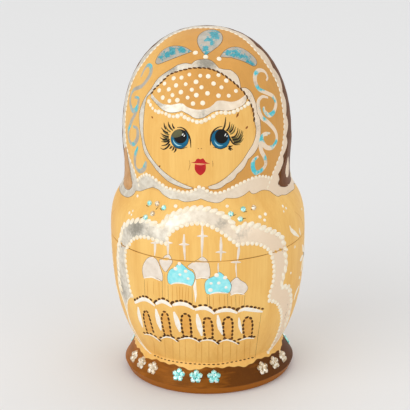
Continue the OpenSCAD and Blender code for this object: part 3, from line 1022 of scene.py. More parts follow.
burn_smudges_px = [
    [(236.4, 117.4), (237.6, 115), (238.6, 112.4)], [(158.6, 166.9), (159.6, 166.2), (160.4, 165.6)],
    [(151.5, 116.4), (152.2, 117.2), (152.6, 118.4)], [(245.6, 128.6), (247, 127.4), (247.8, 126)],
]
lid_widths = (0.25, 0.65, 0.9, 0.95, 0.7, 0.3)
under_widths = (0.1, 0.45, 0.5, 0.15)
arc_widths = (0.15, 0.75, 0.85, 0.15)
glint_widths = (0.55, 0.6)
lash_widths = (1.05, 0.9, 0.25)
soft_lash_widths = (0.85, 1.0, 0.3)
nose_widths = (0.45, 0.3)
cheek_widths = (0.1, 0.3, 0.12)
smudge_widths = (0.4, 1.3, 0.3)
lip_line_widths = (0.35, 0.75, 0.35)
iris_rim = 0.45
fine_step = 0.6
finest_step = 0.5
lip_step = 0.7
eye_grain = 1.5
pupil_grain = 1.2
lip_grain = 1.0
face_colours = {
    "iris_blue": ((0.006, 0.10, 0.20, 1), (0.010, 0.16, 0.28, 1)),
    "iris_pale": ((0.42, 0.72, 0.80, 1), (0.16, 0.46, 0.60, 1)),
    "pupil_black": ((0.006, 0.006, 0.007, 1), (0.012, 0.010, 0.008, 1)),
    "pupil_dull": ((0.13, 0.125, 0.06, 1), (0.09, 0.09, 0.05, 1)),
    "glint_white": ((0.95, 0.95, 0.92, 1), (0.88, 0.88, 0.84, 1)),
    "lash_dark": ((0.016, 0.012, 0.008, 1), (0.045, 0.032, 0.014, 1)),
    "lash_olive": ((0.12, 0.10, 0.028, 1), (0.22, 0.17, 0.05, 1)),
    "lip_red": ((0.55, 0.022, 0.022, 1), (0.44, 0.014, 0.02, 1)),
    "lip_pink": ((0.86, 0.33, 0.20, 1), (0.80, 0.24, 0.15, 1)),
    "face_burn": ((0.30, 0.10, 0.02, 1), (0.22, 0.07, 0.016, 1)),
}
face = {}
for name, (pale, dull) in face_colours.items():
    face[name] = Coat(name, paint_finish(name, pale, dull, 0.45, bump=0.1, gloss=0.06, shine=0.12), 0.03)


def oval(middle, across, tall, steps=40):
    """A round outline in pixels."""
    turns = [math.tau * k / steps for k in range(steps)]
    return [(middle[0] + across * math.cos(t), middle[1] + tall * math.sin(t)) for t in turns]


for eye_px in eyes:
    middle, across, tall = eye_px["iris"]
    face["lash_dark"].patch(seen, oval(middle, across + iris_rim, tall + iris_rim), eye_grain)
    face["iris_blue"].patch(seen, oval(middle, across, tall), eye_grain, lift=0.03)
    face["pupil_black"].patch(seen, oval(*eye_px["pupil"]), pupil_grain, lift=0.06)
    face["iris_pale"].stroke(seen, eye_px["arc"], arc_widths, lift=0.06, step=finest_step)
    for glint in eye_px["glints"]:
        face["glint_white"].stroke(seen, glint, glint_widths, lift=0.11, step=finest_step)
    face["lash_dark"].stroke(seen, eye_px["lid"], lid_widths, lift=0.04, step=fine_step)
    face["lash_dark"].stroke(seen, eye_px["under"], under_widths, lift=0.09, step=fine_step)
face["pupil_dull"].patch(seen, smoothed(dull_patch_px, fine_step, closed=True), lip_grain, lift=0.09)
for lash in soft_lashes_px:
    face["lash_olive"].stroke(seen, lash, soft_lash_widths, step=fine_step)
for lash in lashes_px:
    face["lash_dark"].stroke(seen, lash, lash_widths, lift=0.03, step=fine_step)
for tick in nose_px:
    face["face_burn"].stroke(seen, tick, nose_widths, step=finest_step)
for line in cheek_lines_px:
    face["face_burn"].stroke(seen, line, cheek_widths, step=fine_step)
for smudge in burn_smudges_px:
    face["face_burn"].stroke(seen, smudge, smudge_widths, step=fine_step)
for lip in (upper_lip_px, lower_lip_px):
    face["lip_red"].patch(seen, scalloped(lip, lip_step)[:-1], lip_grain)
face["lip_pink"].stroke(seen, lip_line_px, lip_line_widths, lift=0.02, step=fine_step)

# The scarf's hem: silver paint right round the shoulders, with cream pearls along its top edge and
# scallops below. A brown tail hangs down over it at each side, where the stained back of the scarf ends,
# with a pale drop left in it.
hem_top_px = [
    [(137.9, 180), (141.5, 176.3), (146.4, 174.5), (151.2, 176.3), (156, 180), (162.1, 184.8),
     (168.2, 188.4), (175.4, 190.2), (182.7, 192.1), (188.8, 192.1), (194.8, 190.2), (199.1, 187.2)],
    [(199.1, 187.2), (203.3, 188.4), (208.1, 191.5), (215.4, 193.3), (222.7, 192.1), (231.2, 188.4),
     (238.4, 184.8), (245.7, 181.2), (253, 178.1), (260.3, 176.3), (266.3, 176.9), (271.2, 178.1)],
]
hem_scallops_px = [
    [(119.5, 190.5), (122, 194.5), (127.5, 197.3), (133, 195), (136, 190.7)],
    [(136, 190.7), (141, 191), (146.4, 189), (152.4, 187.2)],
    [(152.4, 187.2), (158.5, 189.6), (162.4, 194)], [(162.4, 194), (170, 198.6), (177.9, 199.3)],
    [(177.9, 199.3), (185.1, 201.8), (194.8, 200.6), (200.9, 198.7)],
    [(200.9, 198.7), (209.4, 201.8), (219, 202.6), (226.3, 198.1)],
    [(226.3, 198.1), (236, 198.1), (243, 195.6), (249.3, 190.9)],
    [(249.3, 190.9), (252, 193.6), (256, 193.2), (260, 191), (264, 190), (268.9, 190.7), (272.2, 193)],
    [(272.2, 193), (275.1, 195), (278, 196.4), (281.8, 195)],
    [(281.8, 195), (286.1, 194.7), (290.9, 191.6)],
]
right_tail = [(75, 126), (74.4, 118.5), (70.8, 115.3), (66.6, 113.4), (66.2, 110.6), (64.7, 108),
              (61.8, 106), (64.2, 104), (72.1, 102), (82, 101.6), (92, 102.4), (96, 106), (96, 126)]
left_tail = [(-66, 124), (-65.2, 121.7), (-63.1, 114.2), (-60.6, 107.9), (-58.7, 105.7), (-59, 103.5),
             (-64.2, 100.9), (-74.3, 100.6), (-80, 102), (-82, 106), (-78, 113), (-72, 121)]
drop = [(0, 116.5), (-2.6, 113.6), (-5, 110.2), (-4.2, 107), (0, 105.4), (4.2, 107), (5, 110.2),
        (2.6, 113.6)]
drop_angles = (78.6, 108, 138, 168, 198, 228, 258)
left_tan = ((0.62, 0.33, 0.12, 1), (0.50, 0.24, 0.075, 1))
hem_back_top = 103.0
hem_back_low = 98.6
hem_back_scallop = 1.7
hem_back_scallops = 13
hem_lap = 0.6
back_steps = 140
back_ease = 12
back_pearls = slice(10, -9, 4)
tail_tones = (0.85, 0.6)
tail_step = 1.0
drop_step = 0.8
drop_grain = 1.5
hem_pearl_size = (2.0 * mm, 1.9 * mm, 0.9 * mm)
hem_pearl_pitch = 2.12 * mm
front_top = [unrolled(*p) for p in scalloped(hem_top_px, px_step)]
front_low = [unrolled(*p) for p in scalloped(hem_scallops_px, px_step)]
left_end, right_end = front_low[0][0], front_low[-1][0]
front_edge = [(left_end, hem_back_top)] + front_top + [(right_end, hem_back_top)] + front_low[::-1]
silver.patch(around, front_edge, silver_grain)
burnt.stroke(around, front_low, scallop_burn, lift=0.03)
back_start, back_end = right_end - hem_lap, 360 + left_end + hem_lap


def between(share, first, last):
    """A value that runs evenly from one end to the other."""
    return first + (last - first) * share


back_top = []
back_low = []
for k in range(back_steps + 1):
    share = k / back_steps
    angle = between(share, back_start, back_end)
    back_top.append((angle, hem_back_top))
    wave = abs(math.sin(math.pi * hem_back_scallops * share))
    ease = min(1, back_ease * share, back_ease * (1 - share))
    end_low = between(share, front_low[-1][1], front_low[0][1])
    back_low.append((angle, between(ease, end_low, hem_back_low) - hem_back_scallop * wave * ease))
silver.patch(around, back_top + back_low[::-1], silver_grain, lift=0.01)
burnt.stroke(around, back_low, scallop_burn, lift=0.03)
dabbed("hem_pearls", cream_paint, seen, hem_top_px, hem_pearl_size, pitch=hem_pearl_pitch)
dabbed("back_hem_pearls", cream_paint, around, [back_top[back_pearls]], hem_pearl_size, pitch=hem_pearl_pitch)

tail_brown = [darker(brown_stain, tone) for tone in tail_tones]
brown_paint = paint_finish("brown_stain", *tail_brown, 0.5, gloss=0.1, shine=0.2)
shader_of(brown_paint)[1].inputs["Specular Tint"].default_value = amber_sheen
tan_paint = paint_finish("tan_stain", *left_tan, 0.5, gloss=0.1, shine=0.2)
tail_coats = []
for name, finish, tail in (("brown_tail", brown_paint, right_tail), ("tan_tail", tan_paint, left_tail)):
    coat = Coat(name, finish, 0.05)
    coat.patch(around, smoothed(tail, tail_step), silver_grain, lift=0.11)
    burnt.stroke(around, tail[1:-1], scallop_burn, lift=0.12)
    tail_coats.append(coat)
for angle in drop_angles:
    edge = [(angle + aside, height) for aside, height in drop]
    silver.patch(around, smoothed(edge, drop_step, closed=True), drop_grain, lift=0.12)

# The panel's frame on the belly: a scalloped band of silver paint over the joint of the two halves, with
# a rope of slanted cream dabs round its outer edge, cream pearls along its inner edge, and thin cream
# lines down to the foot.
rope_arcs_px = [
    [(120, 289.1), (118, 275.7), (116.7, 259.6), (117.4, 246.3), (120, 234.2), (122, 226.2),
     (127.4, 221.5), (134.1, 219.5), (142.1, 218.8), (148.8, 220.1), (155.5, 222.8), (160.9, 224.8)],
    [(160.9, 224.8), (163.6, 219.5), (170.3, 214.1), (179.6, 210.1), (190.4, 207.4), (201.1, 206.7),
     (211.8, 208.8), (221.2, 212.1), (229.2, 217.5), (234.6, 223.5), (236.6, 228.8)],
    [(236.6, 228.8), (241.2, 224.8), (249.3, 222.8), (258.7, 224.8), (268, 228.2), (276.1, 231.5),
     (282.8, 236.2), (285.4, 243.6), (286.8, 254.3), (287.5, 265), (284.8, 275.7), (282.8, 285.1)],
    [(282.8, 285.1), (289.5, 286.4), (292.1, 294.5), (292.1, 303.8), (289.5, 315.9), (285.4, 326.6)],
]
left_line_px = [(118, 275.7), (120, 289.1), (124.7, 303.8), (131.4, 323.9), (140.8, 341.3),
                (150.2, 353.4)]
right_line_px = [(289.5, 315.9), (285.4, 326.6), (278.7, 338.7), (270.7, 349.4), (266.6, 353)]
inner_line_px = [(132, 295.8), (128.4, 299), (127.2, 304), (127.6, 311), (130, 322.6), (136.8, 337.3),
                 (144.8, 348), (151.5, 354)]
inner_arcs_px = [
    [(132, 295.8), (130, 289), (126.7, 270.4), (125.4, 254.3), (127, 247.6), (130, 243.6), (132, 240.2),
     (136.8, 237.5), (143.5, 236.9), (150.2, 238.2), (155.5, 240.2), (162.2, 242.9), (166.2, 243.6)],
    [(166.2, 243.6), (167.6, 236.9), (171.6, 231.5), (179.6, 226.8), (189, 224.2), (198.4, 223.5),
     (207.8, 225.1), (217.1, 229.5), (225.2, 234.9), (231.9, 240.2), (237.9, 244.9)],
    [(237.9, 244.9), (246.6, 243.6), (254.6, 243.6), (262.7, 245.6), (269.4, 250.9), (272.7, 259.6),
     (274.1, 270.4), (272.7, 283.7), (269.4, 294.5), (269.4, 300.5)],
    [(269.4, 300.5), (276.1, 302.5), (280.1, 309.2), (281.4, 317.2), (279.4, 328), (274.7, 340),
     (268, 352)],
]
inner_edge_px = [(275.4, 254), (276.6, 262), (276.6, 274), (275, 286), (272.6, 296)]
rope_size = (4.7 * mm, 2.5 * mm, 1.1 * mm)
rope_pitch = 3.4 * mm
rope_slant = math.radians(33)
rope_start = 8
rope_inset_px = 1.5
rope_shadow_px = 4.3
panel_pearl_size = (2.5 * mm, 2.3 * mm, 1.0 * mm)
panel_pearl_pitch = 2.5 * mm
left_line_widths = (1.2, 1.3, 1.1, 1.0, 0.5)
right_line_widths = (1.0, 1.0, 0.8, 0.4)
inner_line_widths = (0.6, 1.0, 0.9, 0.8, 0.4)
inner_edge_burn = (0.1, 0.28, 0.3, 0.1)
rope_shadow_burn = (0.1, 0.3, 0.34, 0.26, 0.34, 0.1)
cream = Coat("cream_paint", cream_paint, 0.25)

frame_outside = smoothed(left_line_px[::-1], px_step)[:-1] + scalloped(rope_arcs_px, px_step)[rope_start:]
frame_outside += smoothed(right_line_px[1:], px_step)[1:-1]
frame_inside = smoothed(inner_line_px[::-1], px_step)[:-1] + scalloped(inner_arcs_px, px_step)
silver.patch(seen, frame_outside + frame_inside[::-1], silver_grain)
burnt.stroke(seen, inner_edge_px, inner_edge_burn, lift=0.04)


def inset(arc, distance):
    """An arc moved towards the middle of the panel by a distance in pixels."""
    line = smoothed(arc, px_step)
    moved = []
    for before, here, after in zip(line, line[1:], line[2:]):
        run = (after - before).normalized() * distance
        moved.append((here.x - run.y, here.y + run.x))
    return moved


rope_lines = [inset(arc, rope_inset_px) for arc in rope_arcs_px]
for arc in rope_arcs_px:
    burnt.stroke(seen, inset(arc, rope_shadow_px), rope_shadow_burn, lift=0.04)
dabbed("panel_rope", cream_paint, seen, rope_lines, rope_size, pitch=rope_pitch, slant=rope_slant)
dabbed("panel_pearls", cream_paint, seen, inner_arcs_px, panel_pearl_size, pitch=panel_pearl_pitch)
cream.stroke(seen, left_line_px, left_line_widths)
cream.stroke(seen, right_line_px, right_line_widths)
cream.stroke(seen, inner_line_px, inner_line_widths)

# The church on the panel: six onion domes under tall crosses on burnt-in towers, above a long roof and a
# row of arched windows. The outlines are burnt into the wood in dashes, and the snow and the domes are
# painted between them.
domes_px = {
    "silver": [
        [(152.3, 256.6), (147.3, 258.4), (143.6, 264), (142.3, 270.2), (143.3, 276.5), (144.3, 278.1),
         (148.6, 277.6), (152.9, 277.3), (158.5, 278.9), (162.2, 281.1), (162.7, 275.8), (161, 269.6),
         (158.8, 263.4), (156, 258.7)],
        [(168.5, 254.4), (164.7, 255.9), (162.2, 259), (159.5, 259.7), (160, 264), (163.5, 270.2),
         (166, 271.7), (167.8, 269.6), (172.2, 262.8), (171.9, 259.7), (170.3, 255.9)],
        [(202.6, 256.8), (197.7, 259.7), (193.3, 261.8), (187.7, 265.9), (189.6, 268.4), (192.7, 269.6),
         (195.2, 274.6), (195.8, 279.3), (199.5, 278.3), (205.8, 278.6), (209.5, 277.1), (210.2, 272.1),
         (209.5, 266.5), (207.6, 260.9)],
        [(236.8, 277.3), (232.5, 280.2), (230.6, 282.7), (231.6, 285.8), (230, 292), (231.3, 294.5),
         (236.8, 293.2), (242.4, 294.5), (246.8, 290.8), (247.8, 287), (244.9, 282.7), (240.6, 280.2)],
    ],
    "teal": [
        [(179.4, 262.8), (174.7, 267.1), (169.7, 270.2), (167.5, 275.8), (167.8, 280.8), (169.7, 283.9),
         (175.9, 283.3), (182.1, 283.3), (188.3, 285.2), (192.1, 285.5), (194.3, 280.8), (194.6, 275.8),
         (192.7, 272.1), (187.7, 269), (183.4, 265.3)],
        [(219.4, 272.1), (214.5, 275.8), (208.2, 278.9), (205.1, 282.7), (204.9, 288.3), (206.4, 293.2),
         (209.5, 294.1), (215.7, 292.6), (221.9, 292), (227.5, 292.9), (230.6, 290.8), (231.3, 285.8),
         (229.4, 280.8), (225, 276.5)],
    ],
}
dome_spots_px = [(175.5, 268.6), (185.6, 271.2), (180, 274.6), (188.1, 278.6), (216.7, 275.2),
                 (211.1, 283.3), (218.8, 283), (225, 277.7), (226, 287.3), (210.5, 290.1),
                 (179.4, 263.8)]
dome_spot_size = (2.1 * mm, 2.0 * mm, 0.45 * mm)
dome_snow_px = [
    [(144.2, 278.1), (148.6, 277.2), (152.9, 277.3), (160.4, 280.8)],
    [(170.7, 284.5), (175.9, 283), (183.4, 283.5), (191.5, 286)],
    [(196.4, 278.8), (202, 277.5), (209.2, 278.6)],
    [(209.5, 294.5), (213.2, 293.2), (218.8, 292.5), (228.1, 293.2)],
    [(230.4, 295.4), (234.4, 293.6), (238.1, 293.2), (244.3, 294.4)],
]
crosses_px = [
    ([(155.1, 240.4), (155, 248), (154.6, 255.6)], (155.1, 243, 4.6)),
    ([(167.9, 239.6), (167.9, 247), (168, 255.6)], (167.9, 243, 4.8)),
    ([(184.1, 234.2), (184, 244), (185, 260.3)], (184.1, 244.6, 5.2)),
    ([(202.2, 226.2), (202.2, 240), (201.8, 257)], (202.4, 236.2, 5.6)),
    ([(220.9, 236.9), (221, 250), (220.7, 261)], (220.9, 252.3, 5.4)),
    ([(239.2, 245.6), (238.6, 252), (237.4, 261)], (235.8, 262.3, 5.2)),
    ([(218.2, 263), (218.2, 268), (218.3, 272.6)], None),
    ([(236.2, 261.6), (236, 268), (236.6, 277)], None),
]
cross_widths = (0.7, 1.6, 1.3, 0.5)
tower_lens_px = [(195.8, 279.6), (194.8, 287), (195.6, 294.5), (195.3, 302.2)]
tower_lines_px = [
    [(144.3, 279.6), (145.1, 298.2)], [(162.2, 281.3), (162.7, 302.9)], [(168, 285.2), (168.5, 302.2)],
    [(192.1, 286), (192.3, 305.1)], [(207, 294.5), (207.5, 305.4)], [(209.5, 295.2), (209.7, 305.7)],
    [(227.5, 294.2), (227.9, 307.5)], [(235.6, 295.2), (236.1, 309.2)], [(244.9, 295.2), (244.3, 306.7)],
    [(261.2, 312.5), (258, 335.5), (255, 358.2)],
]
tower_shades_px = [
    [(147.3, 280.8), (147.6, 296)], [(153.8, 280.8), (153.5, 294.5)], [(158.8, 282.1), (159.5, 298)],
    [(164.7, 273.3), (165.2, 298.2)], [(172.2, 285.5), (172.4, 302.2)], [(176.7, 286.4), (177.2, 300.1)],
    [(179.6, 286.4), (179.6, 300.1)], [(182.6, 287), (182.4, 300.1)], [(186.1, 286.4), (185.4, 302.9)],
    [(188.3, 287.6), (188.3, 302.2)], [(213.2, 295.2), (213.5, 306.9)], [(219.4, 294.5), (219.9, 306.4)],
    [(224.4, 294.5), (224.9, 306.4)], [(231.3, 296.4), (231.9, 306.9)], [(239.3, 296), (239.3, 306.3)],
    [(242.3, 296), (241.8, 305.9)],
]
roof_px = [
    [(134.9, 299.7), (142.1, 296.4), (147.9, 297.5), (154.8, 302.9)],
    [(155.8, 301), (161, 298.5), (166, 299.7), (171.8, 303.9)],
    [(172.6, 302.2), (179.6, 300.7), (187.1, 302), (194.2, 306.4)],
    [(194.9, 306.7), (202, 305.1), (208.2, 306.1), (214.5, 310.9)],
    [(215.2, 309.7), (223.4, 307.3), (230.6, 307.5), (237.3, 310.2)],
    [(238.1, 308.7), (244.3, 306.3), (251.8, 306.9), (262.5, 308.8)],
]
roof_drop_px = 3.0
roof_snow_widths = (1.4, 2.3, 2.2, 1.0)
windows_px = [
    [(147.8, 333.3), (145.6, 326.8), (143.6, 316.9), (144.8, 311.2), (147.3, 311.9), (149.5, 318.1),
     (153.3, 331.3)],
    [(164.7, 334.5), (162.7, 326.8), (161.6, 318.1), (163.7, 312.1), (166.7, 313.1), (168.9, 320.6),
     (171.2, 335)],
    [(183.6, 335.8), (182.1, 329.3), (181.4, 320.6), (182.4, 315.4), (185.4, 313.9), (189.1, 315.9),
     (190.6, 324.3), (191.5, 335.8)],
    [(205.3, 338.3), (204, 330.6), (203.8, 323.1), (205.3, 318.1), (208, 317.9), (211, 320.6),
     (212.5, 328.1), (212.5, 337.5)],
    [(224.7, 338.3), (223.4, 330.6), (223.4, 323.1), (225.2, 318.4), (228.1, 317.4), (231.4, 318.9),
     (232.6, 325.6), (231.9, 338.3)],
    [(244.1, 336), (243.1, 328.1), (243.6, 322.3), (245.3, 318.4), (248, 317.4), (251.3, 318.9),
     (252.5, 325.6), (251.5, 336.5)],
]
window_lights_px = [
    [(138.1, 306.9), (139.8, 318.1), (142.8, 327.3)], [(155.8, 308.8), (158.3, 320.6), (161, 330.3)],
    [(173.9, 311.7), (177.2, 321.8), (179.9, 331.8)], [(197.1, 313.8), (199, 324.3), (201.8, 335.8)],
    [(217.7, 315), (219.4, 325.6), (222.4, 334.5)], [(238.8, 317.5), (239.8, 325.6), (241.8, 333.3)],
]
window_light_widths = (1.0, 2.9, 3.1, 0.9)
window_light_shares = (1.0, 1.0, 1.0, 0.95, 0.8, 0.55)
sills_px = [
    [(144.3, 332.8), (149.5, 333.3), (154.8, 335.8), (160, 340)],
    [(160.7, 337.5), (166, 335.5), (172.2, 336.8), (177.4, 340.5)],
    [(178.6, 338.3), (186.9, 336.5), (193.1, 337.4), (199.3, 340.8)],
    [(199.8, 339.8), (206.8, 338.5), (213, 339.5), (217.9, 343)],
    [(219.4, 340.8), (225.7, 338.5), (232.1, 339.8), (238.3, 343)],
    [(239.3, 339.3), (246.5, 336.8), (254, 336.8)],
]
sill_drop_px = 1.5
sill_snow_widths = (0.4, 0.95, 1.0, 0.4)
wall_lines_px = [
    [(153.8, 340.5), (154.8, 354.4)], [(164.7, 339.3), (165.5, 357.9)], [(172.8, 339.9), (173.2, 360.7)],
    [(179.6, 339.9), (179.9, 361.4)], [(185.2, 339.3), (185.4, 362.3)], [(196.1, 341.7), (196.1, 363.1)],
    [(201.8, 341.7), (201.5, 363.6)], [(208.9, 341.1), (208.9, 363.4)], [(217.9, 343.2), (217.9, 363.6)],
    [(222.7, 341.7), (222.4, 362.9)], [(230.6, 341.7), (230.1, 362.1)], [(237.1, 343.2), (236.6, 360.4)],
    [(244.8, 340.5), (244.3, 359.2)], [(250.3, 340.5), (249.5, 357.7)],
]
wall_foot_px = [(155, 355.7), (166, 359.8), (179.6, 362.4), (197.1, 364.1), (217, 364.4), (234.4, 361.6),
                (252.5, 357.7)]
dash_size = (2.2 * mm, 1.3 * mm, 0.18 * mm)
dash_pitch = 2.35 * mm
wall_dash_size = (1.5 * mm, 0.6 * mm, 0.15 * mm)
cross_bar_widths = (0.3, 1.1, 1.3, 1.1, 0.3)
slim_post_widths = (0.5, 0.9, 0.4)
beam_bow_px = 0.3
church_grain = 1.8
dome_burn = (0.16, 0.16)
dome_snow_widths = (0.4, 0.85, 0.8, 0.35)
tower_burn = (0.12, 0.16, 0.1)
shade_widths = (0.2, 0.34, 0.16)
tower_lens_widths = (0.3, 1.7, 1.3, 0.3)
dome_colours = {
    "silver": ((0.90, 0.80, 0.69, 1), (0.78, 0.67, 0.55, 1)),
    "teal": ((0.42, 0.90, 0.92, 1), (0.20, 0.76, 0.83, 1)),
}
church_white = (0.97, 0.93, 0.84, 1)
church_cream = (0.93, 0.82, 0.66, 1)
shade_colours = ((0.70, 0.31, 0.055, 1), (0.60, 0.25, 0.04, 1))
window_colours = ((0.82, 0.42, 0.09, 1), (0.72, 0.34, 0.065, 1))


def lowered(run, drop_px):
    """A line in the photograph, moved down."""
    return [(x, y + drop_px) for x, y in run]


white_paint = paint_finish("church_white_paint", church_white, church_cream, 0.45, blotch=600)
white = Coat("church_snow_and_crosses", white_paint, 0.14)
scorched = paint_finish("scorched_wood", *shade_colours, 0.55, gloss=0.1, shine=0.2)
shade = Coat("church_wall_shading", scorched, 0.02)
amber = paint_finish("amber_stain", *window_colours, 0.5, gloss=0.1, shine=0.2)
panes = Coat("church_windows", amber, 0.02)
dome_coats = []
for colour, outlines in domes_px.items():
    dome_paint = paint_finish(f"{colour}_dome_paint", *dome_colours[colour], 0.4, metallic=0.15)
    coat = Coat(f"church_domes_{colour}", dome_paint, 0.08)
    dome_coats.append(coat)
    for outline in outlines:
        edge = smoothed(outline, px_step, closed=True)
        coat.patch(seen, edge, church_grain)
        burnt.stroke(seen, edge, dome_burn, lift=0.03, closed=True)
dabbed("church_dome_spots", white_paint, seen, [dome_spots_px], dome_spot_size, uneven=0.2)
for snow in dome_snow_px:
    white.stroke(seen, snow, dome_snow_widths, lift=0.06)
for post, bar in crosses_px:
    dome_coats[0].stroke(seen, post, cross_widths if bar else slim_post_widths, lift=0.05)
    if bar:
        x, y, reach = bar
        beam = [(x - reach, y), (x, y - beam_bow_px), (x + reach, y)]
        dome_coats[0].stroke(seen, beam, cross_bar_widths, lift=0.05)
white.stroke(seen, tower_lens_px, tower_lens_widths)
for line in tower_lines_px:
    burnt.stroke(seen, line, tower_burn)
for line in tower_shades_px + wall_lines_px:
    shade.stroke(seen, line, shade_widths)
for run in roof_px:
    white.stroke(seen, lowered(run, roof_drop_px), roof_snow_widths)
for light, share in zip(window_lights_px, window_light_shares):
    white.stroke(seen, light, [share * width for width in window_light_widths])
for run in sills_px:
    white.stroke(seen, lowered(run, sill_drop_px), sill_snow_widths)
for arch in windows_px:
    panes.patch(seen, smoothed(arch, px_step), church_grain)
dabbed("church_dashes", burnt_line, seen, roof_px + windows_px + sills_px, dash_size, pitch=dash_pitch)
dabbed("church_wall_dashes", burnt_line, seen, [wall_foot_px], wall_dash_size, pitch=dash_pitch)

# Loose brushwork on the shoulders and round the body: cream dots, and at the sides and back sprays of
# white flowers with curved leaves and a few dots, brushed on freehand over thin burnt stems.
shoulder_dots_px = [(260, 216.8), (265.4, 214.1), (264.7, 220.1), (137.5, 196), (175.6, 206.1),
                    (227.2, 206.1)]
small_dots_px = [(282.8, 206.1), (286.1, 208.1), (283.7, 211.4), (132.8, 210.8), (129.4, 212.8),
                 (131.4, 214.8), (301.6, 209), (294.8, 246.9), (290.8, 273)]
shoulder_dot_size = (1.9 * mm, 1.8 * mm, 0.6 * mm)
small_dot_size = (1.3 * mm, 1.5 * mm, 0.45 * mm)
burn_ticks_px = [
    [(146.4, 205.2), (148.6, 206.8)], [(155.8, 209.6), (158.6, 206.4)], [(140.2, 218), (143.4, 216.6)],
    [(160, 208.4), (162.2, 210.6)], [(243.6, 212), (247.2, 211.6)], [(243, 218.6), (246, 218.2)],
    [(251.2, 210), (252.6, 208.8)], [(233.4, 215.6), (236, 214.4)],
]
right_leaf_px = [(289.6, 225.6), (291, 229.4), (294, 232.6), (298.6, 236.4)]
right_leaf_widths = (0.5, 2.0, 2.4, 0.8)
right_bud_px = [(299, 227.8), (299.6, 231.6), (300.4, 235)]
flowers = [(87, 62, 9.5), (141, 54, 8.5), (180, 70, 11), (219, 54, 8.5), (-87, 62, 9.5)]
petal_count = 7
petal_turn = 0.25
petal_widths = (0.7, 2.6, 3.0, 2.2, 0.6)
stems = [
    [(87, 62), (84, 74), (78, 84), (70, 90)], [(87, 62), (96, 48), (100, 38), (98, 28)],
    [(141, 54), (132, 62), (120, 66), (108, 62)], [(180, 70), (168, 60), (154, 55), (141, 54)],
    [(141, 54), (146, 40), (144, 28)],
]
leaves = [(100, 76, 50), (108, 70, 120), (76, 44, 40), (92, 40, 150), (104, 46, 20), (100, 30, 110),
          (120, 73, 70), (128, 54, 140), (124, 82, 40), (154, 44, 60), (160, 66, 140), (166, 84, 60),
          (170, 44, 30), (172, 30, 130), (150, 30, 80), (132, 34, 100)]
leaf_length = 8.5
leaf_bow = 1.3
leaf_widths = (0.4, 1.9, 2.3, 1.6, 0.4)
scatter = [(97, 84), (112, 50), (116, 42), (122, 46), (136, 70), (146, 68), (150, 76), (164, 48),
           (158, 34), (140, 40), (112, 86), (136, 86), (150, 90), (118, 26), (140, 24), (160, 22),
           (78, 52), (104, 60)]
body_width = 48.0
tick_burn = (0.5, 0.25)
bud_widths = (0.3, 1.1, 0.4)
stem_widths = (0.6, 0.45, 0.2)
stem_step = 1.5
petal_shares = (0.25, 0.55, 0.8, 1.0)
blade_shares = (-0.5, -0.2, 0.2, 0.5)
flower_heart = (2.6 * mm, 2.6 * mm, 0.9 * mm)

dabbed("shoulder_dots", cream_paint, seen, [shoulder_dots_px], shoulder_dot_size)
dabbed("small_shoulder_dots", cream_paint, seen, [small_dots_px], small_dot_size, uneven=0.2)
for tick in burn_ticks_px:
    burnt.stroke(seen, tick, tick_burn)
cream.stroke(seen, right_leaf_px, right_leaf_widths, step=fine_step)
cream.stroke(seen, right_bud_px, bud_widths, step=fine_step)


def mirrored(things):
    """Places on both sides of the body."""
    return list(things) + [(-thing[0],) + tuple(thing[1:]) for thing in things]


for angle, height, reach in flowers:
    for k in range(petal_count):
        way = math.tau * (k + petal_turn) / petal_count
        petal = []
        for share in petal_shares:
            aside = math.degrees(reach * share * math.sin(way) / body_width)
            petal.append((angle + aside, height + reach * share * math.cos(way)))
        cream.stroke(around, petal, petal_widths, step=fine_step)
for run in stems + [mirrored(run)[len(run):] for run in stems]:
    shade.stroke(around, run, stem_widths, step=stem_step)
for angle, height, lean in mirrored(leaves):
    way = math.radians(lean if angle > 0 else 180 - lean)
    blade = []
    for share in blade_shares:
        bow = leaf_bow * (1 - 4 * share * share)
        aside = leaf_length * share * math.cos(way) - bow * math.sin(way)
        rise = leaf_length * share * math.sin(way) + bow * math.cos(way)
        blade.append((angle + math.degrees(aside / body_width), height + rise))
    cream.stroke(around, blade, leaf_widths, step=fine_step)
dabbed("body_dots", cream_paint, around, [mirrored(scatter)], shoulder_dot_size, uneven=0.3)
dabbed("flower_hearts", leaf_paint, around, [[flower[:2] for flower in flowers]], flower_heart)

# The stones: foil-backed glass, glued on. Five-petalled flowers sit on the foot in threes, in turn teal
# and clear, and small round ones lie scattered over the shoulders in front.
flower_groups = {"teal": (-5, 117, 243), "clear": (-53, 59, 180)}
group_step = 12.8
flower_height = 9.2
flower_seed = 3
petals = 5
petal_reach = 2.0 * mm
petal_half = (1.6 * mm, 1.48 * mm)
petal_rise = 0.95 * mm
petal_facets = 6
heart_radius = 0.75 * mm
heart_rise = 1.15 * mm
round_stones = {
    "teal": [(-36.9, 99.8), (-25.1, 99.2), (-36.3, 93.4), (19.4, 97.5), (24.8, 94.8), (28.2, 98.8)],
    "clear": [(-30.7, 100.4), (-32, 95.7), (35.9, 98.6)],
}
round_radius = 1.4 * mm
round_rise = 1.0 * mm
round_facets = 10
round_seed = 11
stone_rings = ((1.0, 0.0), (1.0, 0.3), (0.62, 0.85))
# Deep, middle and pale tones for each kind: the spread between them is a painted reflection on the facets,
# and the pale one a painted highlight.
stone_colours = {
    "teal": ((0.08, 0.52, 0.51, 1), (0.38, 0.88, 0.84, 1), (0.92, 1.0, 0.97, 1)),
    "clear": ((0.42, 0.31, 0.17, 1), (0.80, 0.65, 0.45, 1), (0.98, 0.92, 0.80, 1)),
}


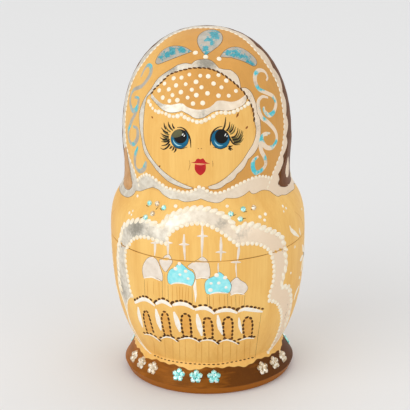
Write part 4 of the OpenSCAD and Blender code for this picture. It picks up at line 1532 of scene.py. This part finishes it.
def cut_stone(shell, middle, along, half, rise, sides):
    """Adds one faceted dome to a mesh: a girdle, a slanted crown and a small flat table."""
    across = Vector((-along.y, along.x, 0))
    turns = [math.tau * k / sides for k in range(sides)]
    rings = []
    for size, height in stone_rings:
        centre = middle + Vector((0, 0, rise * height))
        rings.append([shell.verts.new(centre + along * (half[0] * size * math.cos(turn))
                                      + across * (half[1] * size * math.sin(turn))) for turn in turns])
    top = shell.verts.new(middle + Vector((0, 0, rise)))
    for low, high in zip(rings, rings[1:]):
        for k in range(sides):
            shell.faces.new((low[k - 1], low[k], high[k], high[k - 1]))
    for k in range(sides):
        shell.faces.new((rings[-1][k - 1], rings[-1][k], top))
    shell.faces.new(rings[0][::-1])


def stone_shape(name, parts):
    """One stone of several domes, kept out of the scene for setting."""
    shell = bmesh.new()
    for part in parts:
        cut_stone(shell, *part)
    mesh = bpy.data.meshes.new(name)
    shell.to_mesh(mesh)
    shell.free()
    return bpy.data.objects.new(name, mesh)


def stone_tree():
    """Geometry nodes that set a stone on each point and give each of its facets its own random share of
    painted gleam.
    """
    tree, given = new_tree("stones_on_points", Stone="Object", Seed="Int", Foil="Material")
    places = wire(tree, "GeometryNodeMeshToPoints", {"Mesh": given["Places"]}).outputs[0]
    stone = wire(tree, "GeometryNodeObjectInfo", {"Object": given["Stone"]}).outputs["Geometry"]
    solid = set_on(tree, places, stone, Rotation=leaning(tree, vector_at(tree, "along")))
    chances = {2: 0.0, 3: 1.0, 8: given["Seed"]}
    luck = wire(tree, "FunctionNodeRandomValue", chances, data_type="FLOAT").outputs[1]
    gleam = {"Geometry": solid, "Name": "gleam", "Value": luck}
    lit = wire(tree, "GeometryNodeStoreNamedAttribute", gleam, data_type="FLOAT", domain="FACE").outputs[0]
    coated(tree, lit, given["Foil"])
    return tree


def stone_finish(name, deep, middle, pale):
    """Glass over foil with a painted reflection: each facet gets its own random tone, from deep through
    middle to a pale painted highlight.
    """
    finish, tree, shader = new_finish(name, Metallic=0.35, Roughness=0.12, Coat_Weight=0.8,
                                      Coat_Roughness=0.05)
    gleam = held(tree, "gleam")
    foil = mixed(tree, ramp(tree, gleam, 0.0, 0.45), deep, middle)
    plugged(tree, shader, Base_Color=mixed(tree, ramp(tree, gleam, 0.55, 0.95), foil, pale))
    return finish


setting = stone_tree()
no_shift = Vector((0, 0, 0))
to_side = Vector((1, 0, 0))
flower_parts = [(no_shift, to_side, (heart_radius, heart_radius), heart_rise, petal_facets)]
for k in range(petals):
    along = Vector((math.cos(math.tau * k / petals), math.sin(math.tau * k / petals), 0))
    flower_parts.append((along * petal_reach, along, petal_half, petal_rise, petal_facets))
flower_stone = stone_shape("flower_stone", flower_parts)
round_parts = [(no_shift, to_side, (round_radius, round_radius), round_rise, round_facets)]
round_stone = stone_shape("round_stone", round_parts)


def stones_set(name, node, stone, spots, finish, body, seed):
    """Sets one kind of stone on some spots of the skin, given by angle and height."""
    places, outs = zip(*(around(*spot) for spot in spots))
    alongs = [Vector((0, 0, 1)).cross(out).cross(out) * -1 for out in outs]
    made = grown(name, setting, places, outs, alongs, [], {"Stone": stone, "Seed": seed, "Foil": finish})
    made.materials.clear()
    made.materials.append(finish)
    made.shade_flat()
    piece = bpy.data.objects.new(name, made)
    scene.collection.objects.link(piece)
    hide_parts(node)
    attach(piece, body)


for turn, colour in enumerate(("teal", "clear")):
    slot = f"{colour}_stone"
    foil = stone_finish(slot, *stone_colours[colour])
    rows = [(middle + group_step * k, flower_height) for middle in flower_groups[colour] for k in (-1, 0, 1)]
    stones_set(f"{colour}_flower_stones_on_foot", f"{colour}_flower_stones", flower_stone, rows, foil,
               "outer_bottom", flower_seed + turn)
    stones_set(f"{colour}_round_stones_on_shoulders", f"{colour}_shoulder_stones", round_stone,
               round_stones[colour], foil, "outer_top", round_seed + turn)
for stone in (flower_stone, round_stone):
    bpy.data.objects.remove(stone)

# The coats of paint that several of the pieces above share. Each is cut at the doll's joint and left to
# dry on the half that it lies on. The silver is made darker round some listed places on the front.
darkened_px = [(135, 227.5, 10, 0.8), (222, 224, 9, 0.5), (205, 61.5, 13, 0.7), (171, 70, 9, 0.4),
             (203, 114, 9, 0.7), (207, 197, 11, 0.55), (162, 187, 8, 0.3), (140.5, 103, 13, 0.4)]
coats = [silver, burnt, leaf_coat, scroll_coat, cream, white, shade, panes]
coats += tail_coats + dome_coats + list(face.values())
for coat in coats:
    coat.dry()


def marked(coat, label, places_px):
    """Marks a dry coat round places in the photograph, each with a reach in pixels and a strength."""
    for piece, _ in painted:
        if piece.name.startswith(coat.name):
            values = []
            for vertex in piece.data.vertices:
                x, y = pixel_of(vertex.co)
                near = [most * (1 - math.hypot(x - u, y - v) / reach) for u, v, reach, most in places_px]
                values.append(max(0.0, *near) ** 0.5 if vertex.co.y < 0 else 0.0)
            store(piece.data, label, values)


marked(silver, "rubbed", darkened_px)
marked(scroll_coat, "dipped", scroll_teal_px)
marked(leaf_coat, "dipped", leaf_teal_px)

# The smaller dolls: six more of the same linden, each about four fifths the size of the one around it and
# without a flared foot. They are painted like the outer doll, with less fine work as they get smaller,
# and the last is solid.
inner_dolls = ("second", "third", "fourth", "fifth", "sixth", "smallest")
inner_steps = 128
inner_profile_step = 2.2 * mm
foot_top = 17 * mm
finely_painted = 2
too_fine = ("church_wall_dashes",)
fine_work = ("burnt", "church_wall", "church_dashes", "lash_olive", "body_dots", "small_shoulder", "back_hem",
             "cap_stitches")
outer_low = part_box("outer_doll_bottom")[0].z
outer_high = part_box("outer_doll_top")[1].z


def inner_half(name, node, body, shrink, seat):
    """One turned piece of a smaller doll, tinted and stained like the same place on the outer doll."""
    piece = turned(name, node, inner_steps, inner_profile_step * shrink)
    places = [Vector((v.co.x, v.co.y, v.co.z - seat)) / shrink for v in piece.data.vertices]
    store(piece.data, "stain", [head_stain(place)[0] for place in places])
    store(piece.data, "tint", [scarf_tint(place) for place in places])
    for finish in (varnished, bare):
        piece.data.materials.append(finish)
    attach(piece, body)


def inner_painting(name, outer_body, body, shrink, seat, left_out):
    """The outer doll's painting on one half, made smaller and laid on a smaller doll."""
    shell = bmesh.new()
    finishes = []
    for piece, ridden in painted:
        if ridden == outer_body and not piece.name.startswith(left_out):
            copy = piece.data.copy()
            copy.polygons.foreach_set("material_index", [len(finishes)] * len(copy.polygons))
            finishes.append(copy.materials[0])
            shell.from_mesh(copy)
            bpy.data.meshes.remove(copy)
    cut_level(shell, foot_top, True)
    smaller = Matrix.Translation((0, 0, seat)) @ Matrix.Scale(shrink, 4)
    bmesh.ops.transform(shell, matrix=smaller, verts=shell.verts[:])
    mesh = bpy.data.meshes.new(name)
    shell.to_mesh(mesh)
    shell.free()
    for finish in finishes:
        mesh.materials.append(finish)
    piece = bpy.data.objects.new(name, mesh)
    scene.collection.objects.link(piece)
    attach(piece, body)


for place, doll in enumerate(inner_dolls):
    solid = doll == "smallest"
    low_node, high_node = (f"{doll}_doll{end}" for end in (("", "") if solid else ("_bottom", "_top")))
    low_body, high_body = (doll if solid else f"{doll}_{end}" for end in ("bottom", "top"))
    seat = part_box(low_node)[0].z
    shrink = (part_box(high_node)[1].z - seat) / (outer_high - outer_low)
    low_name = "smallest_doll_whole" if solid else f"{doll}_doll_lower_half"
    inner_half(low_name, low_node, low_body, shrink, seat)
    if not solid:
        inner_half(f"{doll}_doll_upper_half", high_node, high_body, shrink, seat)
    left_out = fine_work if place >= finely_painted else too_fine
    inner_painting(f"{doll}_doll_painting_above", "outer_top", high_body, shrink, seat, left_out)
    inner_painting(f"{doll}_doll_painting_below", "outer_bottom", low_body, shrink, seat, left_out)
